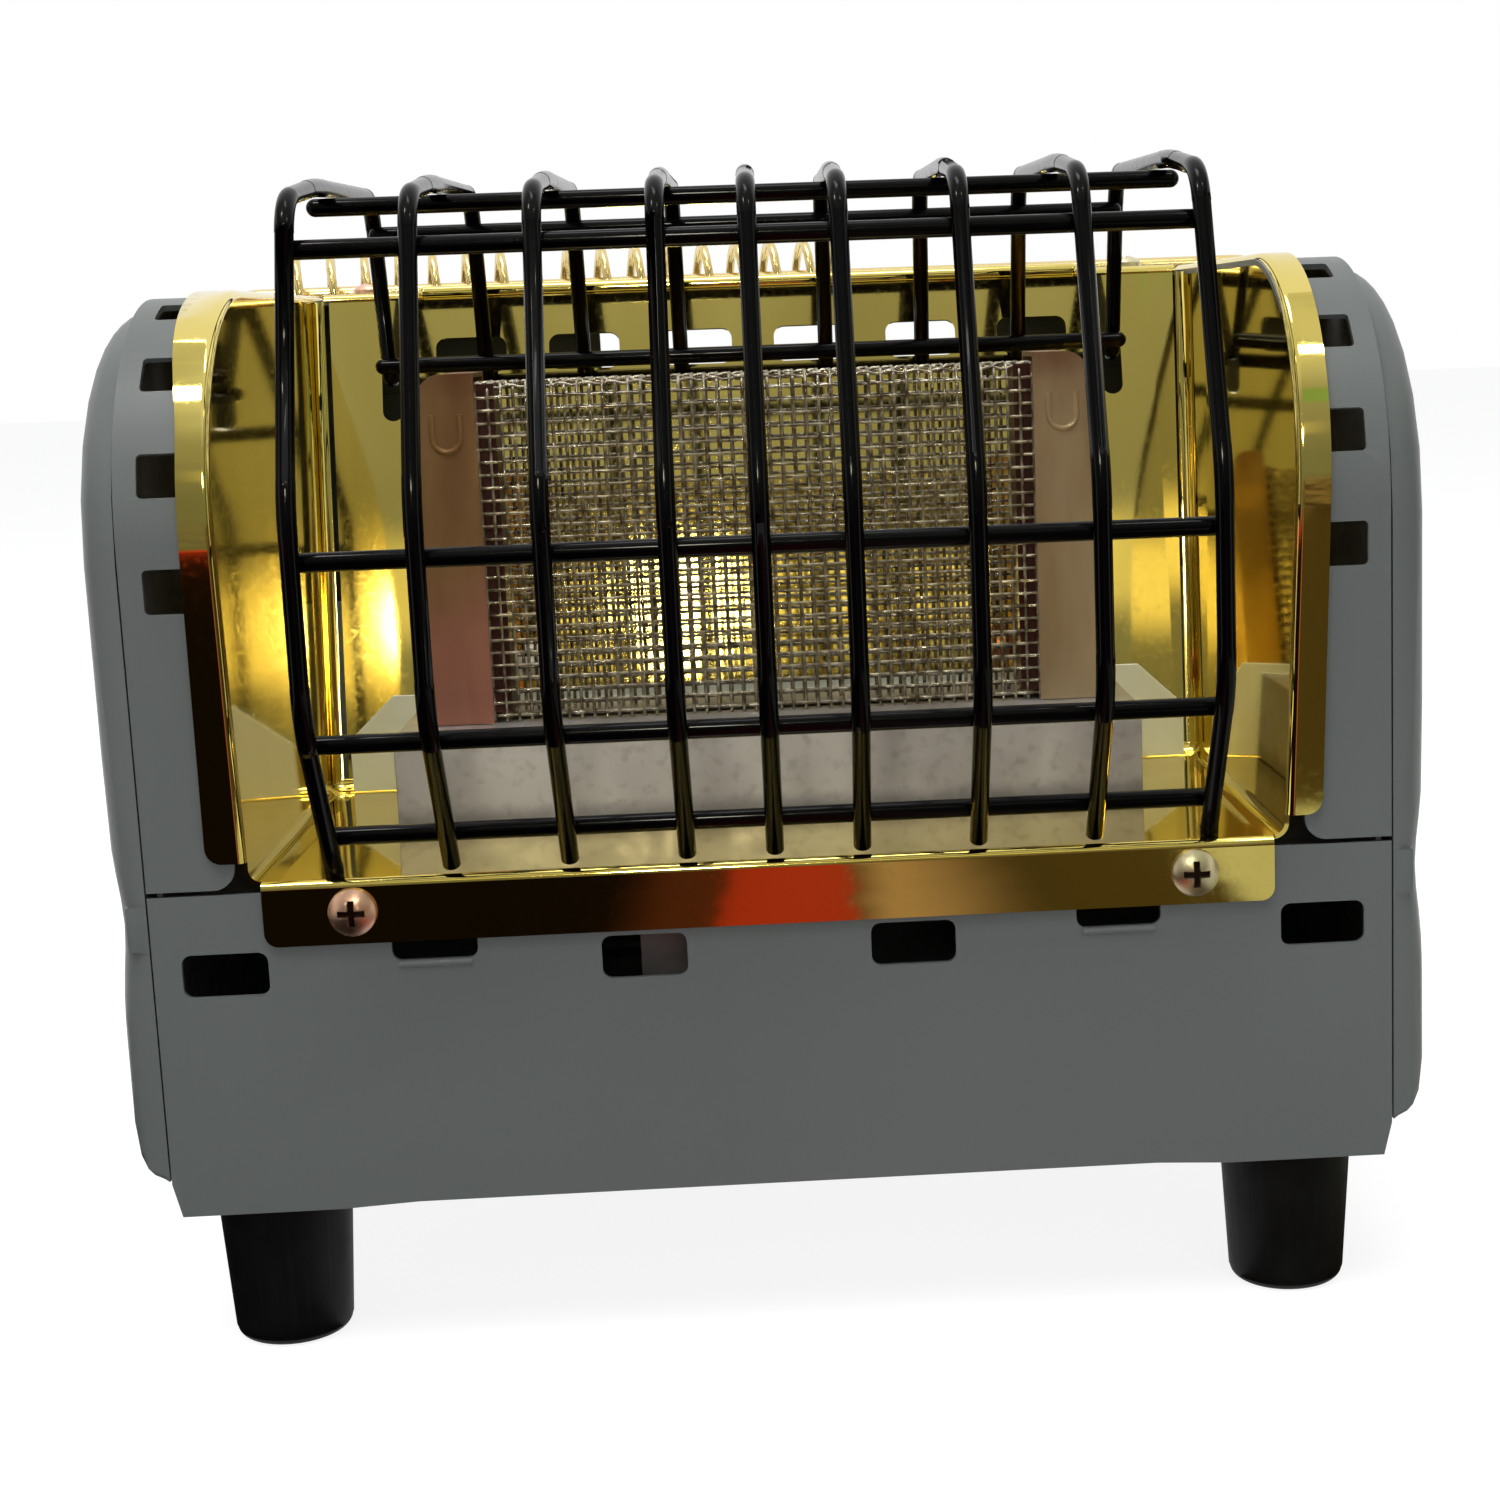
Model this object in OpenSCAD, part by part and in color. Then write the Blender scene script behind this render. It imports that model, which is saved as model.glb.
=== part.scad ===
// Portable propane radiant heater: a folded sheet body on four rubber feet,
// a polished box reflector with a mesh burner hood, a welded wire guard and
// a coil-grip bail. Sizes in millimetres. Z is up, the front faces -Y, and
// the origin is under the middle of the whole heater at floor level.
// Inside each module, y counts back from the outer face of the front panel.

/* [Body] */
// Width of the folded sheet body, without the side covers
body_w = 198; // [190:1:216]
// Depth from the front panel to the back panel
body_d = 130; // [126:1:146]
// Height of the rubber feet under the body
foot_h = 25; // [18:0.5:30]
// Height of the lower front panel
lower_h = 52.6; // [50:0.2:60]
// Gap between the lower front panel and the arched strips above it
seam_gap = 0.8; // [0.3:0.1:1.2]
// Height of the straight front above the seam, up to the arch
front_rise = 54.1; // [50:0.1:60]
// Outer radius of the arch between the front and the top
arch_r = 39.2; // [34:0.2:44]
// Thickness of the body's sheet steel
sheet_t = 1; // [0.8:0.1:1.2]
// Outer radius of the rear top corner
rear_r = 12; // [8:0.5:16]
// Gap left between pieces that are seated on each other
seat_gap = 0.3; // [0.2:0.05:0.4]

/* [Vent slots] */
// Length of a punched vent slot
slot_w = 13.6; // [11:0.2:14.4]
// Height of a punched vent slot
slot_h = 7; // [5:0.2:8]
// Pitch of the slots along the front panel
slot_pitch = 33.1; // [28:0.1:33.4]
// Distance of the front slots below the seam
slot_drop = 9.5; // [8:0.1:12]
// Distance of the outermost front slots from the edge of the body
slot_edge = 11.3; // [9:0.1:13]
// How much higher the slots under the flange screws sit
slot_lift = 4.6; // [0:0.1:5]
// Pitch of the slots up the arched side strips
arch_slot_pitch = 18; // [14:0.2:18.6]
// Outer edge of the arched slots, inwards from the edge of the body
arch_slot_inset = 3.6; // [3:0.2:5]

/* [Side covers] */
// How far the upper part of a side cover stands proud of the body
cover_proud = 7; // [6:0.2:9]
// How much the waist of a side cover is drawn in
waist_draw = 1.3; // [0:0.1:2.5]
// Wall of a side cover
cover_wall = 1.8; // [1.4:0.1:2.2]
// Width of the rounded edge of a side cover
cover_edge = 11; // [8:0.5:13]
// How far the top of a side cover lies below the top of the body
cover_drop = 2; // [0:0.1:3]

/* [Reflector] */
// Width of the body on each side of the reflector box
strip_w = 17; // [16:0.5:20]
// Thickness of the reflector sheet
reflector_t = 0.8; // [0.6:0.1:1]
// Room between the reflector floor and the back panel
rear_room = 48; // [46:1:50]
// How far the back wall leans back over its height
back_lean = 27; // [18:1:27]
// Height of the flange in front of the lower panel
flange_h = 10.4; // [9:0.2:12]
// Width of the right arched flange outside the reflector box
side_flange_w = 5; // [4:0.2:6]
// Width of the left arched flange outside the reflector box
left_flange_w = 7.2; // [4:0.2:8]

/* [Burner] */
// Width of the burner over its end posts
burner_w = 117; // [104:1:120]
// Width of an end post
post_w = 10.2; // [8:0.2:11]
// Depth of the end posts
post_d = 17; // [14:0.5:19]
// Height of the end posts above the tray
post_h = 61; // [52:1:62]
// Distance of the burner's middle from the back of the reflector floor
burner_back = 25; // [24:0.5:28]
// Width of the burner tray
tray_w = 129; // [124:1:134]
// Depth of the burner tray
tray_d = 40; // [34:1:42]
// Height of the burner tray
tray_h = 16; // [12:0.5:18]
// Gap between the plate at the back of the tray and the reflector's sides
back_plate_gap = 3.5; // [2.5:0.5:7]
// Height of the upright plate at the back of the tray
back_plate_h = 17.8; // [12:0.2:20]
// Wire diameter of the burner mesh
mesh_wire = 0.6; // [0.4:0.05:0.7]
// Pitch of the burner mesh
mesh_pitch = 2.2; // [2:0.1:3.4]
// Outside diameter of the mixing tube
mixer_d = 16; // [13:0.5:18]

/* [Guard] */
// Diameter of the guard wire
guard_wire = 3; // [2.4:0.1:3.4]
// Distance of the outermost hoops from the outside of the reflector box
hoop_inset = 12.2; // [10:0.2:15]
// How far the hoops bulge out in front of the panel
guard_bulge = 15.5; // [12:0.5:18]
// Height of the hoop tops above the top of the body
guard_rise = 18.6; // [15:0.2:24]

/* [Handle] */
// Diameter of the handle wire
bail_wire = 4.4; // [4:0.1:5]
// Length of the handle arms from pivot to grip
bail_arm = 46; // [42:0.5:50]
// Lean of the handle behind upright
bail_lean = 63; // [55:1:70]
// Diameter of the coiled grip wire
coil_wire = 2.4; // [1.8:0.1:2.6]
// Mean radius of the grip coil
coil_r = 8.1; // [7:0.1:8.4]
// Length of the grip coil
coil_len = 118; // [90:1:120]
// Full turns of the grip coil
coil_turns = 17; // [12:1:18]
// Middle of the grip coil, to the left of the heater's middle
coil_shift = 37; // [0:1:38]

/* [Feet] */
// Diameter of a foot at the top
foot_top_d = 22; // [18:0.5:24]
// Diameter of a foot at the floor
foot_base_d = 19; // [16:0.5:22]
// Distance of the foot centres from the edges of the body
foot_inset = 14; // [13:0.5:20]

/* [Gas control] */
// Height of the gas line above the bottom of the body
gas_rise = 25; // [23:0.5:26]
// Distance of the knob and the ignition button from the middle
knob_x = 44; // [44:0.5:46]
// Diameter of the control knob
knob_d = 36; // [30:1:38]
// Height of the control knob
knob_h = 16; // [14:0.5:18]
// Push travel of the control knob
knob_travel = 4; // [3:0.5:5]
// Diameter of the valve spindle
spindle_d = 6; // [5:0.5:7]
// Distance of the gas inlet from the side of the body
inlet_inset = 17; // [15:0.5:19]
// Outside diameter of the inlet nipple
inlet_d = 13; // [11:0.5:14]
// Diameter of the ignition button
button_d = 12; // [10:0.5:14]
// Travel of the ignition button
button_travel = 5; // [4:0.5:6]

/* [Hidden] */
$fn = 48;
cut = 1;                                   // overshoot of a through cut
press = 0.1;                               // clearance radius of a bolted hole, per millimetre

// Heights and depths that several pieces share
half_w = body_w/2;
seam_z = foot_h + lower_h;                 // top of the lower front panel
arch_z = seam_z + front_rise;
top_z = arch_z + arch_r;
gas_z = foot_h + gas_rise;
floor_z = seam_z + 1.8;                    // top of the reflector floor
floor_d = body_d - rear_room;              // depth of the reflector floor
reflector_w = body_w - 2*strip_w;          // outside width of the reflector box
burner_y = floor_d - burner_back;
back_plate_w = reflector_w - 2*back_plate_gap;
hoop_reach = reflector_w/2 - hoop_inset;
inlet_x = half_w - inlet_inset;
line_y = body_d - 14;                      // the straight run of the gas line
mouth_y = line_y - 16;                     // mouth of the mixing tube
knob_gap = 1.2 + knob_travel;
knob_back_y = body_d + knob_gap + knob_h;

// Guard outline, from the floor of the reflector round to its back wall
wall_dir = [back_lean, top_z - floor_z];
function wall_y(z) = floor_d + back_lean*(z - floor_z)/(top_z - floor_z);
key_z = top_z - 15.5;                      // height at which the guard hooks in behind
guard_top = top_z + guard_rise;
hoop_points = [[2, floor_z + 1.2], [-guard_bulge, floor_z + 27],
               [-guard_bulge, floor_z + 59], [2.5, guard_top - 5.2],
               [30, guard_top - 1.9], [wall_y(top_z) - 17.5, guard_top - 0.5],
               [wall_y(key_z) - guard_wire/2 - 1, key_z]];
hoop_radii = [0, 18, 24, 9, 150, 8, 0];
hoop_end = len(hoop_points) - 1;
hoop_steps = [0.2, 0.467, 0.735, 1];

// The handle: its pivot and where the middle of the grip rests
pivot = [body_d - 12, top_z - 19.5];
grip_y = pivot[0] + bail_arm*sin(bail_lean);
grip_z = pivot[1] + bail_arm*cos(bail_lean);
bail_x = half_w + cover_proud + 2 + bail_wire/2;

// The whole heater is moved so that its middle is at the origin
front_y = -guard_bulge - guard_wire/2;
back_y = max(grip_y + coil_r + coil_wire/2, knob_back_y);
mid_y = (front_y + back_y)/2;
module placed() translate([0, -mid_y, 0]) children();

// ---------------------------------------------------------------- helpers
// Turns a drawing of the side view (y across, z up) so it extrudes along X
module side_view() rotate([90, 0, 90]) children();
module plate_x(x0, x1) translate([x0, 0, 0]) side_view() linear_extrude(x1 - x0) children();
// Turns a drawing of the front view (x across, z up) so it extrudes back from y0 to y1
module plate_y(y0, y1) translate([0, y1, 0]) rotate([90, 0, 0]) linear_extrude(y1 - y0) children();
module rounded_rect(w, h, r) {
    square([w - 2*r, h], center = true);
    square([w, h - 2*r], center = true);
    for (x = [-1, 1], y = [-1, 1]) translate([x*(w/2 - r), y*(h/2 - r)]) circle(r);
}
// A band of a ring from angle a0 to a1, at most a half turn
module ring_band(r0, r1, a0, a1) {
    far = 2*r1;
    intersection() {
        difference() { circle(r1, $fn = 96); circle(r0, $fn = 96); }
        polygon([[0, 0], far*[cos(a0), sin(a0)],
                 far*[cos((a0 + a1)/2), sin((a0 + a1)/2)]*1.5,
                 far*[cos(a1), sin(a1)]]);
    }
}
function unit(v) = v/norm(v);
// Distance from a corner of a wire path to the ends of its bend
function bend_cut(a, b, c, r) =
    r*tan(acos(max(-1, min(1, unit(b - a)*unit(c - b))))/2);
// A round wire along flat points, with a bend radius at each inner point.
// With a step, the straight runs are that much thinner and reach into the bends.
module wire(points, radii, d, step = 0) {
    last = len(points) - 1;
    reach = step > 0 ? 0.4 : 0;
    cuts = [for (i = [0:last]) i == 0 || i == last ? 0
            : bend_cut(points[i - 1], points[i], points[i + 1], radii[i])];
    for (i = [0:last - 1]) {
        dir = unit(points[i + 1] - points[i]);
        lead = i == 0 ? 0 : reach;
        start = points[i] + dir*(cuts[i] - lead);
        run = norm(points[i + 1] - points[i]) - cuts[i] - cuts[i + 1] + lead + (i == last - 1 ? 0 : reach);
        translate([start[0], start[1], 0]) rotate([0, 0, atan2(dir[1], dir[0])])
            rotate([0, 90, 0]) cylinder(h = run, d = d - step, $fn = 32);
    }
    if (last > 1) for (i = [1:last - 1]) {
        din = unit(points[i] - points[i - 1]);
        dout = unit(points[i + 1] - points[i]);
        turn = atan2(din[0]*dout[1] - din[1]*dout[0], din*dout);
        side = turn > 0 ? 1 : -1;
        tip = points[i] - din*cuts[i];
        mid = tip + side*radii[i]*[-din[1], din[0]];
        from = atan2(tip[1] - mid[1], tip[0] - mid[0]);
        translate([mid[0], mid[1], 0]) rotate([0, 0, turn > 0 ? from : from + turn])
            rotate_extrude(angle = abs(turn), $fn = 96) translate([radii[i], 0]) circle(d = d, $fn = 32);
    }
}
module rod_x(x0, x1, y, z, d) translate([x0, y, z]) rotate([0, 90, 0]) cylinder(h = x1 - x0, d = d);
module rod_y(y0, y1, x, z, d) translate([x, y1, z]) rotate([90, 0, 0]) cylinder(h = y1 - y0, d = d);
// Pan-head cross-recess screw whose head sits on z = 0 and whose shank points down
module pan_screw(head_d, head_h, shank_d, shank_l) {
    difference() {
        intersection() {
            cylinder(h = head_h, d = head_d);
            translate([0, 0, head_h - head_d*0.72]) sphere(head_d*0.72);
        }
        for (a = [0, 90]) rotate(a) translate([-head_d*0.28, -head_d*0.07, head_h*0.45])
            cube([head_d*0.56, head_d*0.14, head_h]);
    }
    translate([0, 0, -shank_l]) cylinder(h = shank_l, d = shank_d);
}

// Side outline of the body, drawn in by a margin on every side
module body_outline(margin) {
    r_bot = 8 - margin/2;
    r_rear = rear_r - margin;
    intersection() {
        union() {
            translate([arch_r, arch_z]) circle(arch_r - margin, $fn = 128);
            translate([margin, foot_h + margin]) square([body_d - 2*margin, arch_z - foot_h - margin]);
            translate([arch_r, foot_h + margin])
                square([body_d - arch_r - margin, top_z - foot_h - 2*margin - r_rear]);
            translate([arch_r, foot_h + margin])
                square([body_d - arch_r - rear_r, top_z - foot_h - 2*margin]);
            translate([body_d - rear_r, top_z - rear_r]) circle(r_rear);
        }
        translate([0, 0]) square([body_d, top_z]);
    }
}

// ---------------------------------------------------------------- body
chassis_x = half_w - sheet_t - seat_gap;   // outer face of the chassis sides
chassis_in = sheet_t + seat_gap;
foot_x = half_w - foot_inset - 1;
foot_y = [foot_inset, body_d - foot_inset];
module foot_spots() for (x = [-1, 1], y = foot_y) translate([x*foot_x, y, 0]) children();

module chassis() color("dimgray") placed() difference() {
    union() {
        translate([-chassis_x, panel_bend + seat_gap, foot_h + chassis_in])
            cube([2*chassis_x, body_d - chassis_in - panel_bend - seat_gap, sheet_t]);
        for (s = [0, 1]) mirror([s, 0, 0])
            plate_x(chassis_x - sheet_t, chassis_x) body_outline(chassis_in);
    }
    foot_spots() translate([0, 0, foot_h]) cylinder(h = 2*chassis_in + sheet_t, d = 4.3);
    for (s = [0, 1]) mirror([s, 0, 0]) {
        rod_x(chassis_x - 2*sheet_t, chassis_x + cut, pivot[0], pivot[1], bush_d + 2*bolt_gap);
        cover_spots() rod_x(-2*sheet_t, cut, 0, 0, cover_screw_d + 2*bolt_gap);
    }
}

panel_lift = 0.6;                          // rise of the lower edge between the feet
panel_bend = 5;
panel_edge = [[half_w - 1.3, foot_h], [foot_x - 12, foot_h], [foot_x - 24, foot_h + panel_lift],
              [24 - foot_x, foot_h + panel_lift], [12 - foot_x, foot_h], [1.3 - half_w, foot_h]];
module front_panel() color("slategray") placed() {
    difference() {
        union() {
            plate_y(0, sheet_t) difference() {
                polygon(concat(panel_edge, [[-half_w, foot_h + 5.5], [-half_w, seam_z],
                                            [half_w, seam_z], [half_w, foot_h + 5.5]]));
                for (s = [-1, 1], k = [0:2]) translate([s*slot_x(k), slot_z(k)])
                    rounded_rect(slot_w, slot_h, 1.6);
            }
            // Folded lip that the panel stands on, and the pressed lips of the raised slots
            plate_y(0, panel_bend)
                polygon(concat(panel_edge, [for (i = [5:-1:0]) panel_edge[i] + [0, sheet_t]]));
            for (s = [-1, 1]) rod_x(s*slot_x(1) - slot_w/2 + 1, s*slot_x(1) + slot_w/2 - 1,
                                    0.1, slot_z(1) - slot_h/2 - 0.6, 1.2);
        }
        for (x = [-1, 1]) rod_y(-cut, sheet_t + cut, x*flange_screw_x, flange_screw_z, 3.6);
    }
}
// Slots from the edge inwards; the second one is raised behind the reflector's flange
function slot_x(k) = half_w - slot_edge - k*slot_pitch;
function slot_z(k) = seam_z - slot_drop - slot_h/2 + (k == 1 ? slot_lift : 0);

strip_in = reflector_w/2 + 3;              // inner edge of the arched strips
strip_corner = 3.5;
shell_rear_z = top_z - 22;                 // where the shell ends behind
module shell_profile() {
    translate([0, seam_z + seam_gap]) square([sheet_t, front_rise - seam_gap]);
    translate([arch_r, arch_z]) ring_band(arch_r - sheet_t, arch_r, 90, 180);
    translate([arch_r, top_z - sheet_t]) square([body_d - arch_r - rear_r, sheet_t]);
    translate([body_d - rear_r, top_z - rear_r]) ring_band(rear_r - sheet_t, rear_r, 0, 90);
    translate([body_d - sheet_t, shell_rear_z]) square([sheet_t, top_z - rear_r - shell_rear_z]);
}
rear_edge_y = wall_y(top_z) + 3;
module upper_shell() color("slategray") placed() difference() {
    plate_x(-half_w, half_w) shell_profile();
    // Opening for the reflector, with rounded lower corners on the strips
    translate([-strip_in, -cut, seam_z - cut]) cube([2*strip_in, rear_edge_y + cut, top_z]);
    for (s = [0, 1]) mirror([s, 0, 0]) {
        translate([strip_in, -cut, seam_z + seam_gap]) difference() {
            translate([-cut, 0, -cut]) cube([strip_corner + cut, 2*cut + sheet_t, strip_corner + cut]);
            rod_y(-cut, 4*cut, strip_corner, strip_corner, 2*strip_corner);
        }
        for (i = [0:3]) arch_slot(i);
        translate([top_screw_x, top_screw_y, top_z - 2*sheet_t]) cylinder(h = 4*sheet_t, d = 3.6);
    }
}
// One slot of the arched strips: the lowest is on the straight front
first_slot_z = arch_z - 6;
module arch_slot(i) {
    along = i*arch_slot_pitch - 6;
    w = half_w - arch_slot_inset - strip_in - 1.4;
    x = strip_in + 1.4 + w/2;
    if (along < 0) translate([x, 0, first_slot_z]) plate_y(-cut, 2*sheet_t) rounded_rect(w, slot_h, 0.8);
    else translate([0, arch_r, arch_z]) rotate([-along/arch_r*180/PI, 0, 0])
        translate([x, 0, 0]) plate_y(-arch_r - cut, -arch_r + 2*sheet_t) rounded_rect(w, slot_h, 0.8);
}

// Back panel with its vents and the openings for the gas control
vent_rows = [top_z - 27, top_z - 40, top_z - 53];
module back_panel() color("slategray") placed() difference() {
    union() {
        plate_y(body_d - sheet_t, body_d) translate([0, (foot_h + shell_rear_z)/2 - seat_gap/2])
            rounded_rect(body_w, shell_rear_z - foot_h - seat_gap, 1);
        // Joggled edge that runs up behind the shell
        plate_y(body_d - 2*sheet_t - seat_gap, body_d - sheet_t)
            translate([0, shell_rear_z - 1]) square([body_w - 8, 8], center = true);
    }
    for (z = vent_rows, i = [-2.5:1:2.5]) translate([i*24, 0, z])
        plate_y(body_d - 3*sheet_t, body_d + cut) rounded_rect(slot_w, slot_h, 2);
    rod_y(body_d - 3*sheet_t, body_d + cut, knob_x, gas_z, spindle_d + 4);
    rod_y(body_d - 3*sheet_t, body_d + cut, inlet_x, gas_z, inlet_d + 2*bolt_gap);
    rod_y(body_d - 3*sheet_t, body_d + cut, -knob_x, gas_z, igniter_d + 2*bolt_gap);
    back_spots() rod_y(-3*sheet_t, cut, 0, 0, 3.3);
}
bolt_gap = 0.2;
back_screw_x = half_w - 5.5;
module back_spots() for (x = [-1, 1], z = [foot_h + 12, shell_rear_z - 10])
    translate([x*back_screw_x, body_d, z]) children();
module back_screws() color("silver") placed()
    back_spots() rotate([-90, 0, 0]) pan_screw(6, 2.2, 3, 6);

// ---------------------------------------------------------------- side covers
// A cover is a grid of heights over the side outline: z rows, y columns
bead_r = 3.5;
waist_z = seam_z - 5.4;
cover_low = foot_h + 6;
cover_high = top_z - cover_drop;
cover_arch = arch_z - cover_drop;
function edge_front(z) = z <= cover_arch ? 0
    : arch_r - sqrt(max(0, pow(arch_r, 2) - pow(z - cover_arch, 2)));
function edge_back(z) = let(zc = cover_high - rear_r) z <= zc ? body_d
    : body_d - rear_r + sqrt(max(0, pow(rear_r, 2) - pow(z - zc, 2)));
function smooth(a) = let(t = max(0, min(1, a))) t*t*(3 - 2*t);
// How far the cover stands out at a height, with its waist below the seam
function proud(z) = cover_proud - waist_draw*exp(-pow((z - waist_z)/9, 2));
function rim(d) = let(t = max(0, min(1, d/cover_edge))) sqrt(1 - pow(1 - t, 2));
// Distance to the rounded outline, measured square to it
function edge_gap(y, z) = min(
    z - cover_low,
    body_d - y,
    y < arch_r && z > cover_arch ? arch_r - norm([y - arch_r, z - cover_arch])
        : min(y, cover_high - z),
    y > body_d - rear_r && z > cover_high - rear_r
        ? rear_r - norm([y - body_d + rear_r, z - cover_high + rear_r]) : 99);
cover_z = concat(
    [for (a = [0, 11, 22, 34, 47, 61, 75, 90]) cover_low + cover_edge*(1 - cos(a))],
    [for (k = [1:5]) cover_low + cover_edge + k*(waist_z - 12 - cover_low - cover_edge)/5],
    [for (k = [-8, -4, 0, 4, 8, 12]) waist_z + k],
    [for (k = [1:3]) waist_z + 12 + k*(cover_arch - waist_z - 12)/3],
    [for (a = [15, 28, 40, 50, 58, 65, 71, 76, 80, 83.5, 87]) cover_arch + arch_r*sin(a)]);
cover_u = [0, 0.012, 0.03, 0.055, 0.085, 0.15, 0.3, 0.5, 0.7, 0.85, 0.915, 0.945, 0.97, 0.988, 1];
function cover_point(z, u, inset) = let(
    y0 = edge_front(z) + inset, y1 = edge_back(z) - inset, y = y0 + u*(y1 - y0),
    h = max(0, proud(z)*rim(edge_gap(y, z))))
    [half_w + seat_gap + max(0, h - (inset > 0 ? inset : 0)), y, z];
function cover_grid(inset) = [for (z = cover_z) for (u = cover_u) cover_point(z, u, inset)];
module cover_body() {
    nz = len(cover_z);
    nu = len(cover_u);
    n = nz*nu;
    outer = cover_grid(0);
    flat = [for (p = outer) [half_w + seat_gap - 0.02, p[1], p[2]]];
    polyhedron(points = concat(outer, flat), faces = concat(
        [for (i = [0:nz - 2]) for (j = [0:nu - 2]) each let(a = i*nu + j)
            [[a, a + nu, a + nu + 1], [a, a + nu + 1, a + 1]]],
        [for (i = [0:nz - 2]) for (j = [0:nu - 2]) each let(a = n + i*nu + j)
            [[a, a + nu + 1, a + nu], [a, a + 1, a + nu + 1]]],
        [for (i = [0:nz - 2]) for (s = [0, 1]) each let(a = i*nu + s*(nu - 1), b = a + nu)
            s == 0 ? [[a, a + n, b + n], [a, b + n, b]] : [[a, b + n, a + n], [a, b, b + n]]],
        [for (j = [0:nu - 2]) for (s = [0, 1]) each let(a = s*(nz - 1)*nu + j, b = a + 1)
            s == 0 ? [[a, b, b + n], [a, b + n, a + n]] : [[a, b + n, b], [a, a + n, b + n]]]));
}
cover_screw_d = 3;
module cover_spots() for (p = [[16, foot_h + 20], [body_d - 16, foot_h + 20], [body_d/2, top_z - 26]])
    translate([chassis_x, p[0], p[1]]) children();
module side_cover() {
    difference() {
        union() {
            cover_body();
            // D-shaped bead in the waist, next to the front edge
            translate([half_w + seat_gap, bead_r + 0.4, waist_z + 0.2]) side_view() linear_extrude(3.3) {
                circle(bead_r);
                translate([-bead_r, -bead_r]) square([bead_r, 2*bead_r]);
            }
        }
        translate([half_w + seat_gap - cut, cover_edge, foot_h + 15])
            cube([cut + proud(waist_z) - cover_wall - 1.6, body_d - 2*cover_edge, arch_z - foot_h - 15]);
        rod_x(half_w - cut, half_w + cover_proud + cut, pivot[0], pivot[1], bush_d + 2*bolt_gap);
        cover_spots() rod_x(-cut, cover_proud + 4, 0, 0, 3.4);
        cover_spots() rod_x(chassis_in + cover_proud - 3, cover_proud + 9, 0, 0, 7.4);
    }
}
module side_cover_right() color("gray") placed() side_cover();
module side_cover_left() color("gray") placed() mirror([1, 0, 0]) side_cover();
module cover_screws() color("silver") placed() for (s = [0, 1]) mirror([s, 0, 0])
    cover_spots() translate([chassis_in + cover_proud - 3, 0, 0]) rotate([0, 90, 0])
        pan_screw(6, 2.2, cover_screw_d, cover_proud + 3);

// ---------------------------------------------------------------- reflector
flange_gap = 0.2;
flange_y = -flange_gap - reflector_t;
flange_screw_x = reflector_w/2 - 15.1;
flange_screw_z = floor_z - flange_h/2;
wall_angle = atan2(wall_dir[0], wall_dir[1]);
side_in = reflector_w/2 - reflector_t;
top_screw_x = reflector_w/2 - 7.4;
lip_x = reflector_w/2 - 19;
edge_foot = 3.3;                           // where the arched flanges end above the floor
edge_corner = 3;
edge_w = [side_flange_w, left_flange_w];
top_screw_y = rear_edge_y + 4;
rear_flange_y = rear_edge_y + 9;
module reflector_fold() {
    t = reflector_t;
    // Front flange, floor, leaning back wall and rear flange, folded from one sheet
    translate([flange_y, floor_z - flange_h]) square([t, flange_h - 1.6]);
    translate([flange_y + 1.6, floor_z - 1.6]) ring_band(1.6 - t, 1.6, 90, 180);
    translate([flange_y + 1.6, floor_z - t]) square([floor_d - flange_y - 1.6, t]);
    polygon([[floor_d - t, floor_z - t], [floor_d, floor_z - t], [wall_y(top_z) + t, top_z + flange_gap + t],
             [wall_y(top_z), top_z + flange_gap + t], [floor_d - t, floor_z]]);
    translate([wall_y(top_z), top_z + flange_gap]) square([rear_flange_y - wall_y(top_z), t]);
}
module reflector_side() {
    // Side wall, bounded by the arch in front and the leaning wall behind
    difference() {
        union() {
            translate([arch_r, arch_z]) circle(arch_r + flange_gap, $fn = 128);
            translate([-flange_gap, floor_z - reflector_t]) square([arch_r, arch_z - floor_z + reflector_t]);
            translate([arch_r, floor_z - reflector_t]) square([body_d, top_z - floor_z + reflector_t + flange_gap]);
        }
        polygon([[floor_d, floor_z - 2*cut], [wall_y(top_z + cut), top_z + cut], [body_d*2, top_z + cut],
                 [body_d*2, floor_z - 2*cut]]);
        translate([arch_r - body_d, 0]) square([2*body_d, floor_z - reflector_t]);
    }
}
module reflector_edge() {
    // Arched flange that lies over the edge of the shell
    t = reflector_t;
    translate([flange_y, floor_z + edge_foot]) square([t, arch_z - floor_z - edge_foot]);
    translate([arch_r, arch_z]) ring_band(arch_r + flange_gap, arch_r + flange_gap + t, 90, 180);
    translate([arch_r, top_z + flange_gap]) square([rear_flange_y - arch_r, t]);
}
module on_back_wall() translate([0, floor_d, floor_z]) rotate([-wall_angle, 0, 0]) children();
wall_len = norm(wall_dir);
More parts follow.
